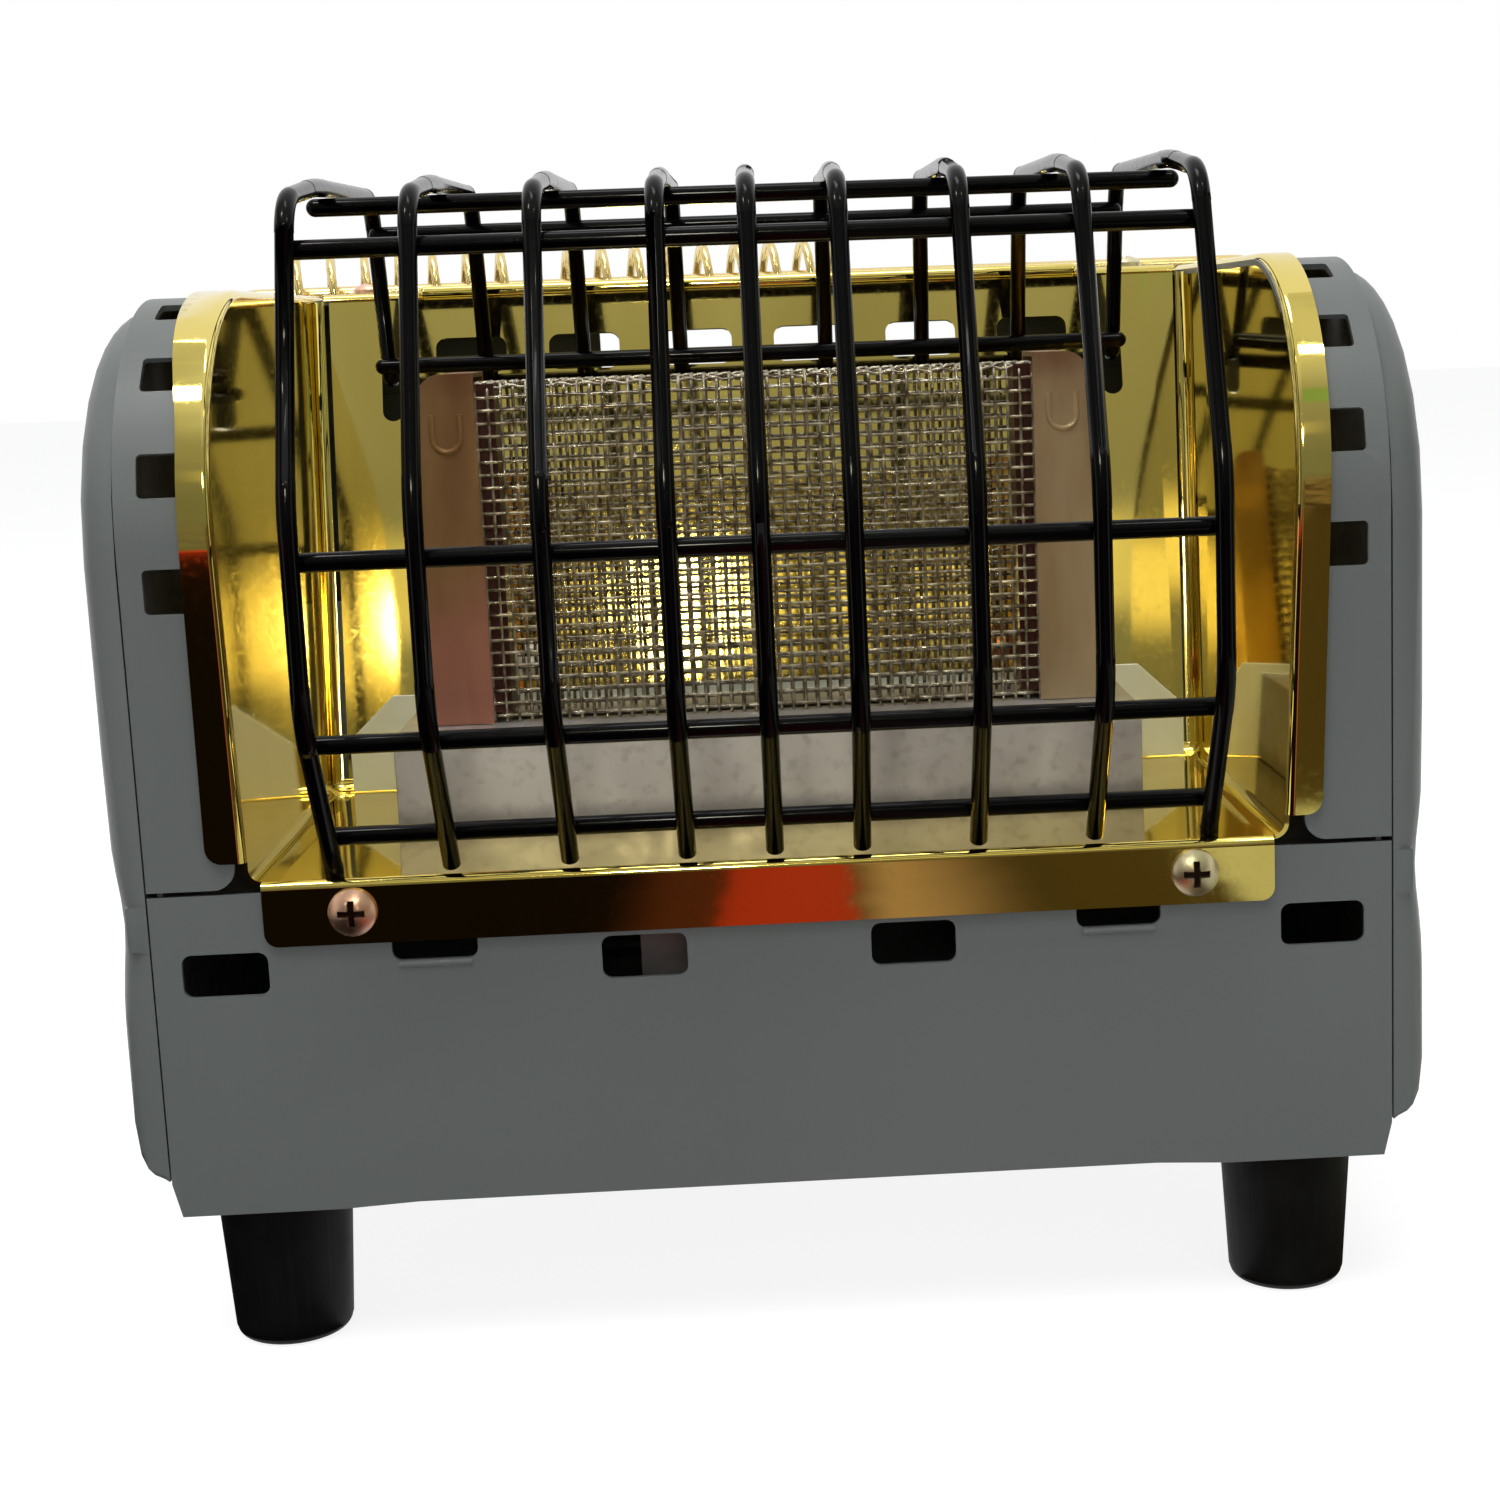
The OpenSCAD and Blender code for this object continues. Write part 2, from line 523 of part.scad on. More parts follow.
module reflector() color("goldenrod") placed() difference() {
    union() {
        plate_x(-reflector_w/2, reflector_w/2) reflector_fold();
        for (s = [0, 1]) mirror([s, 0, 0]) {
            plate_x(side_in, reflector_w/2) reflector_side();
            plate_x(side_in, reflector_w/2 + edge_w[s]) reflector_edge();
        }
        // Rolled lip along the top of the back wall
        rod_x(-lip_x, lip_x, wall_y(top_z) + 1, top_z + flange_gap + 0.2, 3.2);
        for (s = [-1, 1]) translate([s*lip_x, wall_y(top_z) + 1, top_z + flange_gap + 0.2]) sphere(1.6);
    }
    // Rounded lower corners of the front flange
    for (s = [0, 1]) mirror([s, 0, 0]) {
        translate([reflector_w/2 - 2, flange_y - cut, floor_z - flange_h - cut]) difference() {
            cube([2 + cut, 2*cut + reflector_t, 2 + cut]);
            translate([0, 0, 2 + cut]) rod_y(-cut, 4*cut, 0, 0, 4);
        }
        translate([reflector_w/2 + edge_w[s] - edge_corner, flange_y - cut, floor_z + edge_foot - cut]) difference() {
            cube([edge_corner + cut, cut + reflector_t + flange_gap/2, edge_corner + cut]);
            translate([0, 0, edge_corner + cut]) rod_y(-cut, 4*cut, 0, 0, 2*edge_corner);
        }
        rod_y(flange_y - cut, cut, flange_screw_x, flange_screw_z, 3.6);
        translate([top_screw_x, top_screw_y, top_z - cut]) cylinder(h = 4*cut, d = 3.6);
        // Relief holes of the folded corners, and the seats of the outer hoops
        translate([reflector_w/2 - 2, floor_d - 1.6, floor_z - 2*cut]) cylinder(h = 4*cut, d = 3.4);
        translate([hoop_reach, hoop_points[0][0], floor_z - 2*cut]) cylinder(h = 4*cut, d = guard_wire + 0.6);
        on_back_wall() translate([hoop_reach, 0, wall_len - 19])
            plate_y(-3*cut, 3*cut) rounded_rect(guard_wire + 1, 11, (guard_wire + 1)/2 - 0.01);
    }
    on_back_wall() for (i = [-2.5:1:2.5]) translate([i*0.133*reflector_w, 0, wall_len - 14.5])
        plate_y(-3*cut, 3*cut) rounded_rect(slot_w, slot_h, 2);
    translate([0, burner_y, floor_z - 2*cut]) cylinder(h = 4*cut, d = mixer_d + 2*seat_gap);
    on_back_wall() for (x = [-1, 1]) rod_y(-3*cut, 3*cut, x*probe_x, probe_len, probe_hole);
}
probe_x = knob_x;
probe_len = 24;                            // up the back wall
probe_hole = 7;
module flange_screws() color("rosybrown") placed() for (s = [-1, 1])
    translate([s*flange_screw_x, flange_y, flange_screw_z]) rotate([90, 0, 0]) pan_screw(7.6, 2.4, 3.2, 6);
module top_screws() color("peru") placed() for (s = [-1, 1])
    translate([s*top_screw_x, top_screw_y, top_z + flange_gap + reflector_t]) pan_screw(6.6, 2.2, 3.2, 6);

// Plain shield between the hot floor and the gas parts
shield_z = floor_z - 7;
shield_back = body_d - 22;
shield_drop = 40;
module heat_shield() color("gainsboro") placed() difference() {
    union() {
        translate([-chassis_x + sheet_t + seat_gap, 6, shield_z])
            cube([2*(chassis_x - sheet_t - seat_gap), shield_back - 6, reflector_t]);
        translate([-chassis_x + sheet_t + seat_gap, shield_back, shield_z])
            cube([2*(chassis_x - sheet_t - seat_gap), reflector_t, shield_drop]);
    }
    translate([0, burner_y, shield_z - cut]) cylinder(h = 4*cut, d = mixer_d + 2*seat_gap);
    for (x = [-1, 1]) translate([x*probe_x, lead_y, shield_z - cut]) cylinder(h = 4*cut, d = 5);
    translate([bracket_x - 10, 5, shield_z - cut]) cube([20, 13, 3*cut]);
}

// ---------------------------------------------------------------- burner
tray_y = burner_y - tray_d/2;
tray_top = floor_z + flange_gap + tray_h;
module burner_tray() color("silver") placed() difference() {
    union() {
        translate([-tray_w/2, tray_y, floor_z + flange_gap]) cube([tray_w, tray_d, tray_h]);
        // Turned-out foot in front, and the wide upright plate behind
        translate([-tray_w/2, tray_y - 3, floor_z + flange_gap]) cube([tray_w, 3.5, reflector_t]);
        translate([0, 0, floor_z + flange_gap]) plate_y(tray_y + tray_d, tray_y + tray_d + reflector_t)
            polygon([[-back_plate_w/2, 0], [-back_plate_w/2, back_plate_h - 8], [-back_plate_w/2 + 8.5, back_plate_h],
                     [back_plate_w/2 - 8.5, back_plate_h], [back_plate_w/2, back_plate_h - 8], [back_plate_w/2, 0]]);
    }
    translate([-tray_w/2 + reflector_t, tray_y + reflector_t, floor_z - cut])
        cube([tray_w - 2*reflector_t, tray_d - 2*reflector_t, tray_h + cut + flange_gap - reflector_t]);
    // Gas slot under the hood
    translate([-burner_w/2 + post_w + 2, burner_y - 4, tray_top - 2*cut]) cube([burner_w - 2*post_w - 4, 8, 4*cut]);
}
bracket_x = -21;
module burner_bracket() color("gainsboro") placed() {
    // Small folded bracket that ties the front of the floor to the chassis
    plate_x(bracket_x - 8, bracket_x + 8) {
        translate([7, foot_h + chassis_in + sheet_t]) square([1.2, floor_z - reflector_t - seat_gap - foot_h - chassis_in - sheet_t]);
        translate([7, floor_z - reflector_t - seat_gap - 1.2]) square([10, 1.2]);
        translate([7, foot_h + chassis_in + sheet_t]) square([10, 1.2]);
    }
}
module post_shape(grow) {
    // Front view of an end post, with its rounded outer shoulder
    w = post_w - 2*grow;
    h = post_h - grow;
    r = 5 - grow;
    square([w - r, h]);
    square([w, h - r]);
    translate([w - r, h - r]) circle(r);
}
module burner_post() {
    x0 = burner_w/2 - post_w;
    translate([x0, 0, tray_top + seat_gap/3]) difference() {
        union() {
            plate_y(burner_y - post_d/2, burner_y + post_d/2) post_shape(0);
            // Raised U near the top of the front face
            translate([post_w/2, burner_y - post_d/2, post_h - 11]) rotate([90, 0, 0]) {
                rotate(180) rotate_extrude(angle = 180) translate([2.4, 0]) circle(d = 1);
                for (s = [-1, 1]) translate([s*2.4, 0, 0]) rotate([-90, 0, 0]) cylinder(h = 4, d = 1);
            }
        }
        translate([-reflector_t, 0, -reflector_t]) plate_y(burner_y - post_d/2 + reflector_t, burner_y + post_d/2 - reflector_t)
            post_shape(0);
    }
}
module burner_post_right() color("sienna") placed() burner_post();
module burner_post_left() color("sienna") placed() mirror([1, 0, 0]) burner_post();

// Mesh hood: warp wires folded over the top, weft wires lying on them
mesh_d = post_d - 2*reflector_t - 2*mesh_wire - 2*seat_gap;
mesh_half = burner_w/2 - post_w + 1.6;
mesh_h = post_h - reflector_t - seat_gap - 1.5*mesh_wire;
warp_n = floor(mesh_half/mesh_pitch);
weft_n = floor((mesh_h - 4)/mesh_pitch);
module burner_mesh() color("darkgray") placed() translate([0, burner_y, tray_top + seat_gap/3]) {
    half_d = mesh_d/2 - mesh_wire/2;
    over_z = mesh_h - mesh_wire/2;
    for (i = [-warp_n:warp_n]) translate([i*mesh_pitch, 0, 0]) side_view()
        wire([[-half_d, 0], [-half_d, over_z], [half_d, over_z], [half_d, 0]], [0, 3, 3, 0], mesh_wire, $fn = 16);
    lay = mesh_wire + 0.02;
    for (s = [-1, 1], k = [0:weft_n - 1])
        rod_x(-mesh_half, mesh_half, s*(half_d + lay), 1.2 + k*mesh_pitch, mesh_wire, $fn = 16);
    for (k = [-1:1]) rod_x(-mesh_half, mesh_half, k*mesh_pitch, over_z + lay, mesh_wire, $fn = 16);
}

// ---------------------------------------------------------------- gas parts
elbow_r = 14;
mixer_in = mixer_d - 2.4;
module mixer_solid(d, extra) {
    translate([0, burner_y, gas_z + elbow_r]) cylinder(h = tray_top - reflector_t - 4 - gas_z - elbow_r + extra, d = d);
    translate([0, burner_y + elbow_r, gas_z + elbow_r]) rotate([90, 0, -90]) rotate([0, 0, -90])
        rotate_extrude(angle = 90) translate([elbow_r, 0]) circle(d = d);
    rod_y(burner_y + elbow_r, mouth_y + extra, 0, gas_z, d);
}
module mixing_tube() color("silver") placed() difference() {
    union() {
        mixer_solid(mixer_d, 0);
        // Flared mouth that faces the jet
        translate([0, mouth_y, gas_z]) rotate([90, 0, 0]) cylinder(h = 8, d1 = mixer_d + 8, d2 = mixer_d);
    }
    mixer_solid(mixer_in, cut);
    translate([0, mouth_y + 0.01, gas_z]) rotate([90, 0, 0]) cylinder(h = 8, d1 = mixer_d + 5.6, d2 = mixer_in);
    for (a = [0, 90]) translate([0, mouth_y - 14, gas_z]) rotate([0, a, 0]) cylinder(h = 2*mixer_d, d = 5, center = true);
}
jet_y = mouth_y + 6;
module gas_jet() color("gold") placed() difference() {
    union() {
        translate([0, jet_y, gas_z]) rotate([-90, 0, 0]) cylinder(h = 6, d1 = 3, d2 = 7);
        translate([0, jet_y + 6, gas_z]) rotate([-90, 0, 0]) cylinder(h = 10, d = 12, $fn = 6);
    }
    rod_y(jet_y - cut, jet_y + 12, 0, gas_z, 0.8);
    rod_x(0, 10, line_y, gas_z, pipe_d + 2*bolt_gap);
}
pipe_d = 5;
valve_d = 20;
valve_y = [body_d - sheet_t - seat_gap - 25, body_d - sheet_t - seat_gap];
module outlet_pipe() color("chocolate") placed() difference() {
    rod_x(1, knob_x - valve_d/2 + 1, line_y, gas_z, pipe_d);
    rod_x(0, knob_x, line_y, gas_z, pipe_d - 1.6);
}
module inlet_pipe() color("chocolate") placed() difference() {
    rod_x(knob_x + valve_d/2 - 1, inlet_x - inlet_hex/2 + 1, line_y, gas_z, pipe_d);
    rod_x(knob_x, inlet_x, line_y, gas_z, pipe_d - 1.6);
}
module valve_body() color("gold") placed() difference() {
    union() {
        rod_y(valve_y[0], valve_y[1], knob_x, gas_z, valve_d);
        translate([knob_x - 8, valve_y[0] + 4, gas_z - 14]) cube([16, 16, 14]);
        for (s = [-1, 1]) rod_x(knob_x + (s < 0 ? -valve_d/2 - 3 : 0), knob_x + (s < 0 ? 0 : valve_d/2 + 3), line_y, gas_z, 10);
    }
    rod_x(knob_x - valve_d, knob_x - valve_d/2 + 1.2, line_y, gas_z, pipe_d + 2*bolt_gap);
    rod_x(knob_x + valve_d/2 - 1.2, knob_x + valve_d, line_y, gas_z, pipe_d + 2*bolt_gap);
    rod_y(valve_y[1] - collar_h - knob_travel - 3, valve_y[1] + cut, knob_x, gas_z, collar_d + 0.1);
    rod_y(valve_y[1] - 20, valve_y[1], knob_x, gas_z, spindle_d + 0.1);
}
collar_d = 12;
collar_h = 5;
spindle_fit = 0.1;
module spindle_collar() color("gainsboro") placed() difference() {
    rod_y(valve_y[1] - collar_h - 2, valve_y[1] - 2, knob_x, gas_z, collar_d);
    rod_y(valve_y[1] - 9, valve_y[1], knob_x, gas_z, spindle_d + spindle_fit);
}
module valve_spindle() color("gainsboro") placed() difference() {
    rod_y(valve_y[1] - 14, knob_back_y - 5, knob_x, gas_z, spindle_d);
    // Flat that drives the knob
    translate([knob_x - spindle_d, body_d + knob_gap + 2, gas_z + spindle_d/2 - 1.2]) cube([2*spindle_d, knob_h, spindle_d]);
}
module control_knob() color("black") placed() difference() {
    union() {
        rod_y(body_d + knob_gap, body_d + knob_gap + 3, knob_x, gas_z, knob_d);
        translate([knob_x, body_d + knob_gap + 3, gas_z]) rotate([-90, 0, 0])
            cylinder(h = knob_h - 3, d1 = knob_d - 4, d2 = knob_d - 7);
        for (a = [0:20:340]) translate([knob_x, 0, gas_z]) rotate([0, a, 0])
            rod_y(body_d + knob_gap + 3, knob_back_y - 2, knob_d/2 - 2.6, 0, 2.4);
    }
    // D-shaped bore for the spindle
    difference() {
        rod_y(body_d + knob_gap - cut, knob_back_y - 4.8, knob_x, gas_z, spindle_d + spindle_fit);
        translate([knob_x - spindle_d, body_d + knob_gap + 2.2, gas_z + spindle_d/2 - 1.1])
            cube([2*spindle_d, knob_h, spindle_d]);
    }
    // Pointer groove
    translate([knob_x - 0.8, knob_back_y - 0.8, gas_z + 4]) cube([1.6, 2, knob_d/2]);
}
inlet_hex = 17;
inlet_back = body_d - 24;                  // inner end of the fitting
module inlet_fitting() color("gold") placed() difference() {
    union() {
        translate([inlet_x, inlet_back, gas_z]) rotate([-90, 0, 0])
            cylinder(h = body_d - sheet_t - seat_gap - inlet_back, d = inlet_hex, $fn = 6);
        // Nut outside the panel, then the free end that the hose goes on
        translate([inlet_x, body_d + seat_gap, gas_z]) rotate([-90, 0, 0]) cylinder(h = 4, d = inlet_hex + 1, $fn = 6);
        rod_y(inlet_back + 2, body_d + 16, inlet_x, gas_z, inlet_d);
    }
    rod_y(inlet_back + 6, body_d + 17, inlet_x, gas_z, 5);
    rod_x(inlet_x - inlet_hex, inlet_x - inlet_hex/2 + 1.2, line_y, gas_z, pipe_d + 2*bolt_gap);
}
igniter_d = 18;
igniter_l = 38;
module igniter_body() color("black") placed() difference() {
    union() {
        rod_y(body_d - igniter_l, body_d + 2.5, -knob_x, gas_z, igniter_d);
        rod_y(body_d, body_d + 2.5, -knob_x, gas_z, igniter_d + 6);
    }
    rod_y(body_d - 14, body_d + 4, -knob_x, gas_z, button_d + 2*button_fit);
}
button_fit = 0.05;
module igniter_button() color("firebrick") placed() {
    rod_y(body_d - 14 + button_travel + 1, body_d + 2.5 + button_travel, -knob_x, gas_z, button_d);
    translate([-knob_x, body_d + 2.5 + button_travel, gas_z]) intersection() {
        sphere(button_d/2);
        rotate([-90, 0, 0]) cylinder(h = 1.6, d = button_d);
    }
}
// Electrode and thermocouple come through the back wall behind the mesh
probe_z = floor_z + probe_len*cos(wall_angle);
mesh_back_y = burner_y + mesh_d/2;
probe_wall_y = wall_y(probe_z);
module spark_electrode() color("ivory") placed() {
    rod_y(probe_wall_y - 12, probe_wall_y + 10, -probe_x, probe_z, 6);
    rod_y(mesh_back_y + mesh_wire + 2.5, probe_wall_y + 14, -probe_x, probe_z, 1.6);
}
module thermocouple() color("peru") placed() {
    rod_y(probe_wall_y - 6, probe_wall_y + 8, probe_x, probe_z, 6.2);
    rod_y(mesh_back_y + mesh_wire + 2, probe_wall_y + 14, probe_x, probe_z, 3.2);
}
lead_y = probe_wall_y + 17;
module lead(x, end_z, d) translate([x, 0, 0]) side_view()
    wire([[probe_wall_y + 14.2, probe_z], [lead_y, probe_z], [lead_y, end_z]], [0, 2, 0], d);
module ignition_lead() color("dimgray") placed() lead(-probe_x, gas_z + igniter_d/2 + seat_gap, 2.4);
module sensor_lead() color("peru") placed() lead(probe_x, gas_z + valve_d/2 + seat_gap, 2);
tilt_size = [22, 30, 16];
tilt_x = knob_x - 15;
module tilt_switch() color("dimgray") placed() translate([-tilt_x, floor_d - 7, foot_h + chassis_in + sheet_t]) {
    translate([-tilt_size[0]/2, -tilt_size[1]/2, 0]) cube(tilt_size);
    translate([0, 0, tilt_size[2]]) cylinder(h = 4, d = 0.65*tilt_size[0]);
}

// ---------------------------------------------------------------- guard
module hoop(x) translate([x, 0, 0]) side_view() wire(hoop_points, hoop_radii, guard_wire, 0.1);
// The outermost hoops stand in the floor and hook into the back wall
module end_hoop(x) translate([x, 0, 0]) side_view() wire(
    concat([[hoop_points[0][0], floor_z - 2]], hoop_points, [hoop_points[hoop_end] + [8, 0]]),
    concat([0, 2.5], [for (i = [1:hoop_end - 1]) hoop_radii[i]], [2.5, 0]), guard_wire, 0.1);
module hoops_side(s) {
    for (k = [1, 2]) hoop(s*hoop_steps[k]*hoop_reach);
    end_hoop(s*hoop_reach);
}
module guard_hoops_left() color("black") placed() hoops_side(-1);
module guard_hoops_right() color("black") placed() hoops_side(1);
module guard_hoops_middle() color("black") placed()
    for (k = [-1, 0, 1]) hoop(k*hoop_steps[0]*hoop_reach);
// A point inside the hoops, along segment i at share t
function inside(i, t) = let(a = hoop_points[i], b = hoop_points[i + 1], d = unit(b - a))
    a + t*(b - a) + (guard_wire + 0.05)*[d[1], -d[0]];
// Segment, share of its length and extra reach of each rail
rail_spots = [[0, 0.135, 0], [0, 0.77, 0], [1, 0.75, 0], [2, 0.858, 0],
              [4, 0.163, 1.7], [5, 0.179, -0.9], [5, 0.9, 0.7]];
module guard_rails() color("black") placed() for (r = rail_spots) {
    p = inside(r[0], r[1]);
    reach = hoop_reach + r[2];
    rod_x(-reach, reach, p[0], p[1], guard_wire);
    for (s = [-1, 1]) translate([s*reach, p[0], p[1]]) sphere(d = guard_wire);
}

// ---------------------------------------------------------------- handle
bush_d = 8;
pin_fit = 0.06;
module handle_bush() {
    difference() {
        union() {
            rod_x(chassis_x - sheet_t - 2, half_w + cover_proud + 1, pivot[0], pivot[1], bush_d);
            rod_x(half_w + cover_proud + 2*seat_gap, half_w + cover_proud + 1.6, pivot[0], pivot[1], bush_d + 3);
        }
        rod_x(chassis_x - sheet_t - 3, half_w + cover_proud + 2, pivot[0], pivot[1], bail_wire + 2*pin_fit);
    }
}
module handle_bush_right() color("black") placed() handle_bush();
module handle_bush_left() color("black") placed() mirror([1, 0, 0]) handle_bush();
module handle_bail() color("goldenrod") placed() translate([0, pivot[0], pivot[1]]) rotate([-bail_lean, 0, 0]) {
    inner = chassis_x - sheet_t - 1;
    rotate([90, 0, 0]) wire([[-inner, 0], [-bail_x, 0], [-bail_x, bail_arm], [bail_x, bail_arm],
        [bail_x, 0], [inner, 0]], [0, 2.6, 6, 6, 2.6, 0], bail_wire);
}
// Coiled grip with closed, tapered ends that ride on the handle wire
coil_seg = 18;
coil_sides = 6;
coil_end_r = bail_wire/2 + coil_wire/2 + 0.25;
function coil_radius(t) = let(e = min(t, coil_turns - t)) coil_end_r + (coil_r - coil_end_r)*smooth(e/1.2);
function coil_x(t) = let(e = coil_wire*1.05, p = (coil_len - 2*e)/(coil_turns - 2))
    t < 1 ? t*e : t > coil_turns - 1 ? coil_len - (coil_turns - t)*e : e + (t - 1)*p;
module handle_grip() color("goldenrod") placed() translate([-coil_shift - coil_len/2, grip_y, grip_z]) {
    n = coil_turns*coil_seg;
    rings = [for (i = [0:n]) let(t = i/coil_seg, a = t*360, r = coil_radius(t))
        for (k = [0:coil_sides - 1]) let(b = k*360/coil_sides, rr = r + coil_wire/2*cos(b))
            [coil_x(t) + coil_wire/2*sin(b), rr*cos(a), rr*sin(a)]];
    polyhedron(points = rings, faces = concat(
        [[for (k = [0:coil_sides - 1]) k]],
        [[for (k = [coil_sides - 1:-1:0]) n*coil_sides + k]],
        [for (i = [0:n - 1]) for (k = [0:coil_sides - 1]) each
            let(a = i*coil_sides + k, b = i*coil_sides + (k + 1)%coil_sides)
            [[a, a + coil_sides, b + coil_sides], [a, b + coil_sides, b]]]));
}

// ---------------------------------------------------------------- feet
module foot() difference() {
    rotate_extrude() difference() {
        polygon([[0, 0], [foot_base_d/2, 0], [foot_top_d/2, foot_h - seat_gap], [0, foot_h - seat_gap]]);
        translate([foot_base_d/2 - 2, -0.01]) difference() {
            square([3, 2]);
            translate([0, 2]) circle(2);
        }
    }
    translate([0, 0, -cut]) cylinder(h = foot_h + 2*cut, d = 4.3);
    translate([0, 0, -cut]) cylinder(h = 8 + cut, d = 10);
}
module foot_at(sx, i) color("black") placed() translate([sx*foot_x, foot_y[i], 0]) foot();
module foot_front_left() foot_at(-1, 0);
module foot_front_right() foot_at(1, 0);
module foot_rear_left() foot_at(-1, 1);
module foot_rear_right() foot_at(1, 1);
module foot_screws() color("silver") placed() foot_spots() {
    translate([0, 0, 8]) rotate([180, 0, 0]) pan_screw(8, 2.6, 4, 8.01);
    translate([0, 0, 16]) cylinder(h = foot_h - 8, d = 4);
    translate([0, 0, foot_h + chassis_in + sheet_t + 0.1]) cylinder(h = 3, d = 8, $fn = 6);
}

chassis();
front_panel();
upper_shell();
back_panel();
side_cover_left();
side_cover_right();
reflector();
heat_shield();
burner_tray();
burner_bracket();
burner_post_left();
burner_post_right();
burner_mesh();
mixing_tube();
gas_jet();
outlet_pipe();
inlet_pipe();
valve_body();
spindle_collar();
valve_spindle();
control_knob();
inlet_fitting();
igniter_body();
igniter_button();
spark_electrode();
ignition_lead();
thermocouple();
sensor_lead();
tilt_switch();
guard_hoops_left();
guard_hoops_middle();
guard_hoops_right();
guard_rails();
handle_bush_left();
handle_bush_right();
handle_bail();
handle_grip();
foot_front_left();
foot_front_right();
foot_rear_left();
foot_rear_right();
foot_screws();
flange_screws();
top_screws();
cover_screws();
back_screws();
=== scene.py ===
import bpy
import bmesh
import math
from mathutils import Matrix, Vector


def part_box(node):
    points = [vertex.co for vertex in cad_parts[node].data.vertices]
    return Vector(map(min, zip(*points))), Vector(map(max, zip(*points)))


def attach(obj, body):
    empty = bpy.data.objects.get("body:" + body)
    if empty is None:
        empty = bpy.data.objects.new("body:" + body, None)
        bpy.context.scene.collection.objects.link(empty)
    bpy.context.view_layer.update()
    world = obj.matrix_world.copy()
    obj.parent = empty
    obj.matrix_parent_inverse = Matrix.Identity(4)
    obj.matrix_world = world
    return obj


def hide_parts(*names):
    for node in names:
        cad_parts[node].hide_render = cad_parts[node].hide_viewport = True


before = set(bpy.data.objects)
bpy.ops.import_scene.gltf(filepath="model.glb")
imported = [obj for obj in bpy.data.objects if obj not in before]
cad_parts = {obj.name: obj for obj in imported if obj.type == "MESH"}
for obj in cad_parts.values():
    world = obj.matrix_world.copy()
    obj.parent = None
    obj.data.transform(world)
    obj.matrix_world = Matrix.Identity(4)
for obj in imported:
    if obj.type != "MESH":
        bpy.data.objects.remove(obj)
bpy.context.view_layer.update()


# The camera stands in front of the heater, level with its upper half, and looks
# slightly down. Its shift brings the heater to the middle of the frame.
CAMERA_PLACE = Vector((0.000465, -0.466078, 0.162142))
VIEW_RIGHT = Vector((0.997964, -0.052350, -0.036433))
VIEW_DOWN = Vector((-0.044908, -0.171121, -0.984226))
camera_data = bpy.data.cameras.new("camera")
camera_data.sensor_width = 36
camera_data.lens = 60.175
camera_data.shift_x = -0.0921
camera_data.shift_y = 0.0109
camera = bpy.data.objects.new("camera", camera_data)
view_axes = Matrix((VIEW_RIGHT, -VIEW_DOWN, -VIEW_RIGHT.cross(VIEW_DOWN))).transposed()
camera.matrix_world = Matrix.Translation(CAMERA_PLACE) @ view_axes.to_4x4()
bpy.context.scene.collection.objects.link(camera)
bpy.context.scene.camera = camera


# Powder-coated body: the lower front panel, the arched shell and the back panel
# are punched from 1 mm sheet steel, folded, and sprayed in one satin grey.
class Wire:
    """A shader socket that takes part in Python arithmetic."""

    def __init__(self, finish, socket):
        self.finish, self.socket = finish, socket

    def maths(self, operation, *others):
        operands = dict(enumerate((self, *others)))
        return self.finish.add("Math", {"operation": operation}, operands)

    def __add__(self, other):
        return self.maths("ADD", other)

    def __sub__(self, other):
        return self.maths("SUBTRACT", other)

    def __mul__(self, other):
        return self.maths("MULTIPLY", other)

    def __rsub__(self, other):
        return (self * -1.0) + other

    __radd__, __rmul__ = __add__, __mul__

    def between(self, low, high):
        """0 below low, 1 above high, smooth between them."""
        limits = {"Value": self, "From Min": low, "From Max": high}
        return self.finish.add("MapRange", {"interpolation_type": "SMOOTHSTEP"}, limits)


class Finish:
    """A procedural material on a Principled shader."""

    def __init__(self, name, **constants):
        self.slot = name
        self.material = bpy.data.materials.new("finish_" + name)
        self.material.use_nodes = True
        self.nodes = self.material.node_tree.nodes
        self.shader = self.nodes["Principled BSDF"]
        self.place = Wire(self, self.nodes.new("ShaderNodeTexCoord").outputs["Object"])
        for socket, value in constants.items():
            self.put(socket.replace("_", " "), value)

    def add(self, kind, settings, inputs, output=0):
        """A node of this kind: its settings are made first, then its sockets are filled."""
        node = self.nodes.new("ShaderNode" + kind)
        for setting, value in settings.items():
            setattr(node, setting, value)
        for socket, value in inputs.items():
            self.fill(node.inputs[socket], value)
        return Wire(self, node.outputs[output])

    def fill(self, socket, value):
        if isinstance(value, Wire):
            self.material.node_tree.links.new(value.socket, socket)
        else:
            socket.default_value = value

    def put(self, socket, value):
        """Sets or links one socket of the shader."""
        self.fill(self.shader.inputs[socket], value)

    def noise(self, scale, detail=2.0, stretch=(1, 1, 1)):
        """Noise of so many grains a metre, drawn out along the axes of small stretch."""
        vector = self.add("Mapping", {}, {"Vector": self.place, "Scale": stretch})
        return self.add("TexNoise", {}, {"Vector": vector, "Scale": scale, "Detail": detail})

    def axis(self, name):
        """One coordinate of the place on the heater."""
        return self.add("SeparateXYZ", {}, {0: self.place}, "XYZ".index(name))

    def attribute(self, name):
        """A number that the piece's mesh carries on its faces."""
        return self.add("Attribute", {"attribute_name": name}, {}, 2)

    def mix(self, amount, low, high):
        """A colour that goes from low to high."""
        return self.add("Mix", {"data_type": "RGBA"}, {0: amount, 6: low, 7: high}, 2)

    def bump(self, height, depth, strength=1.0, **facing):
        """Bumps the surface by height times depth, in metres. Normal gives it another facing."""
        bumped = {"Height": height, "Distance": depth, "Strength": strength, **facing}
        self.put("Normal", self.add("Bump", {}, bumped))


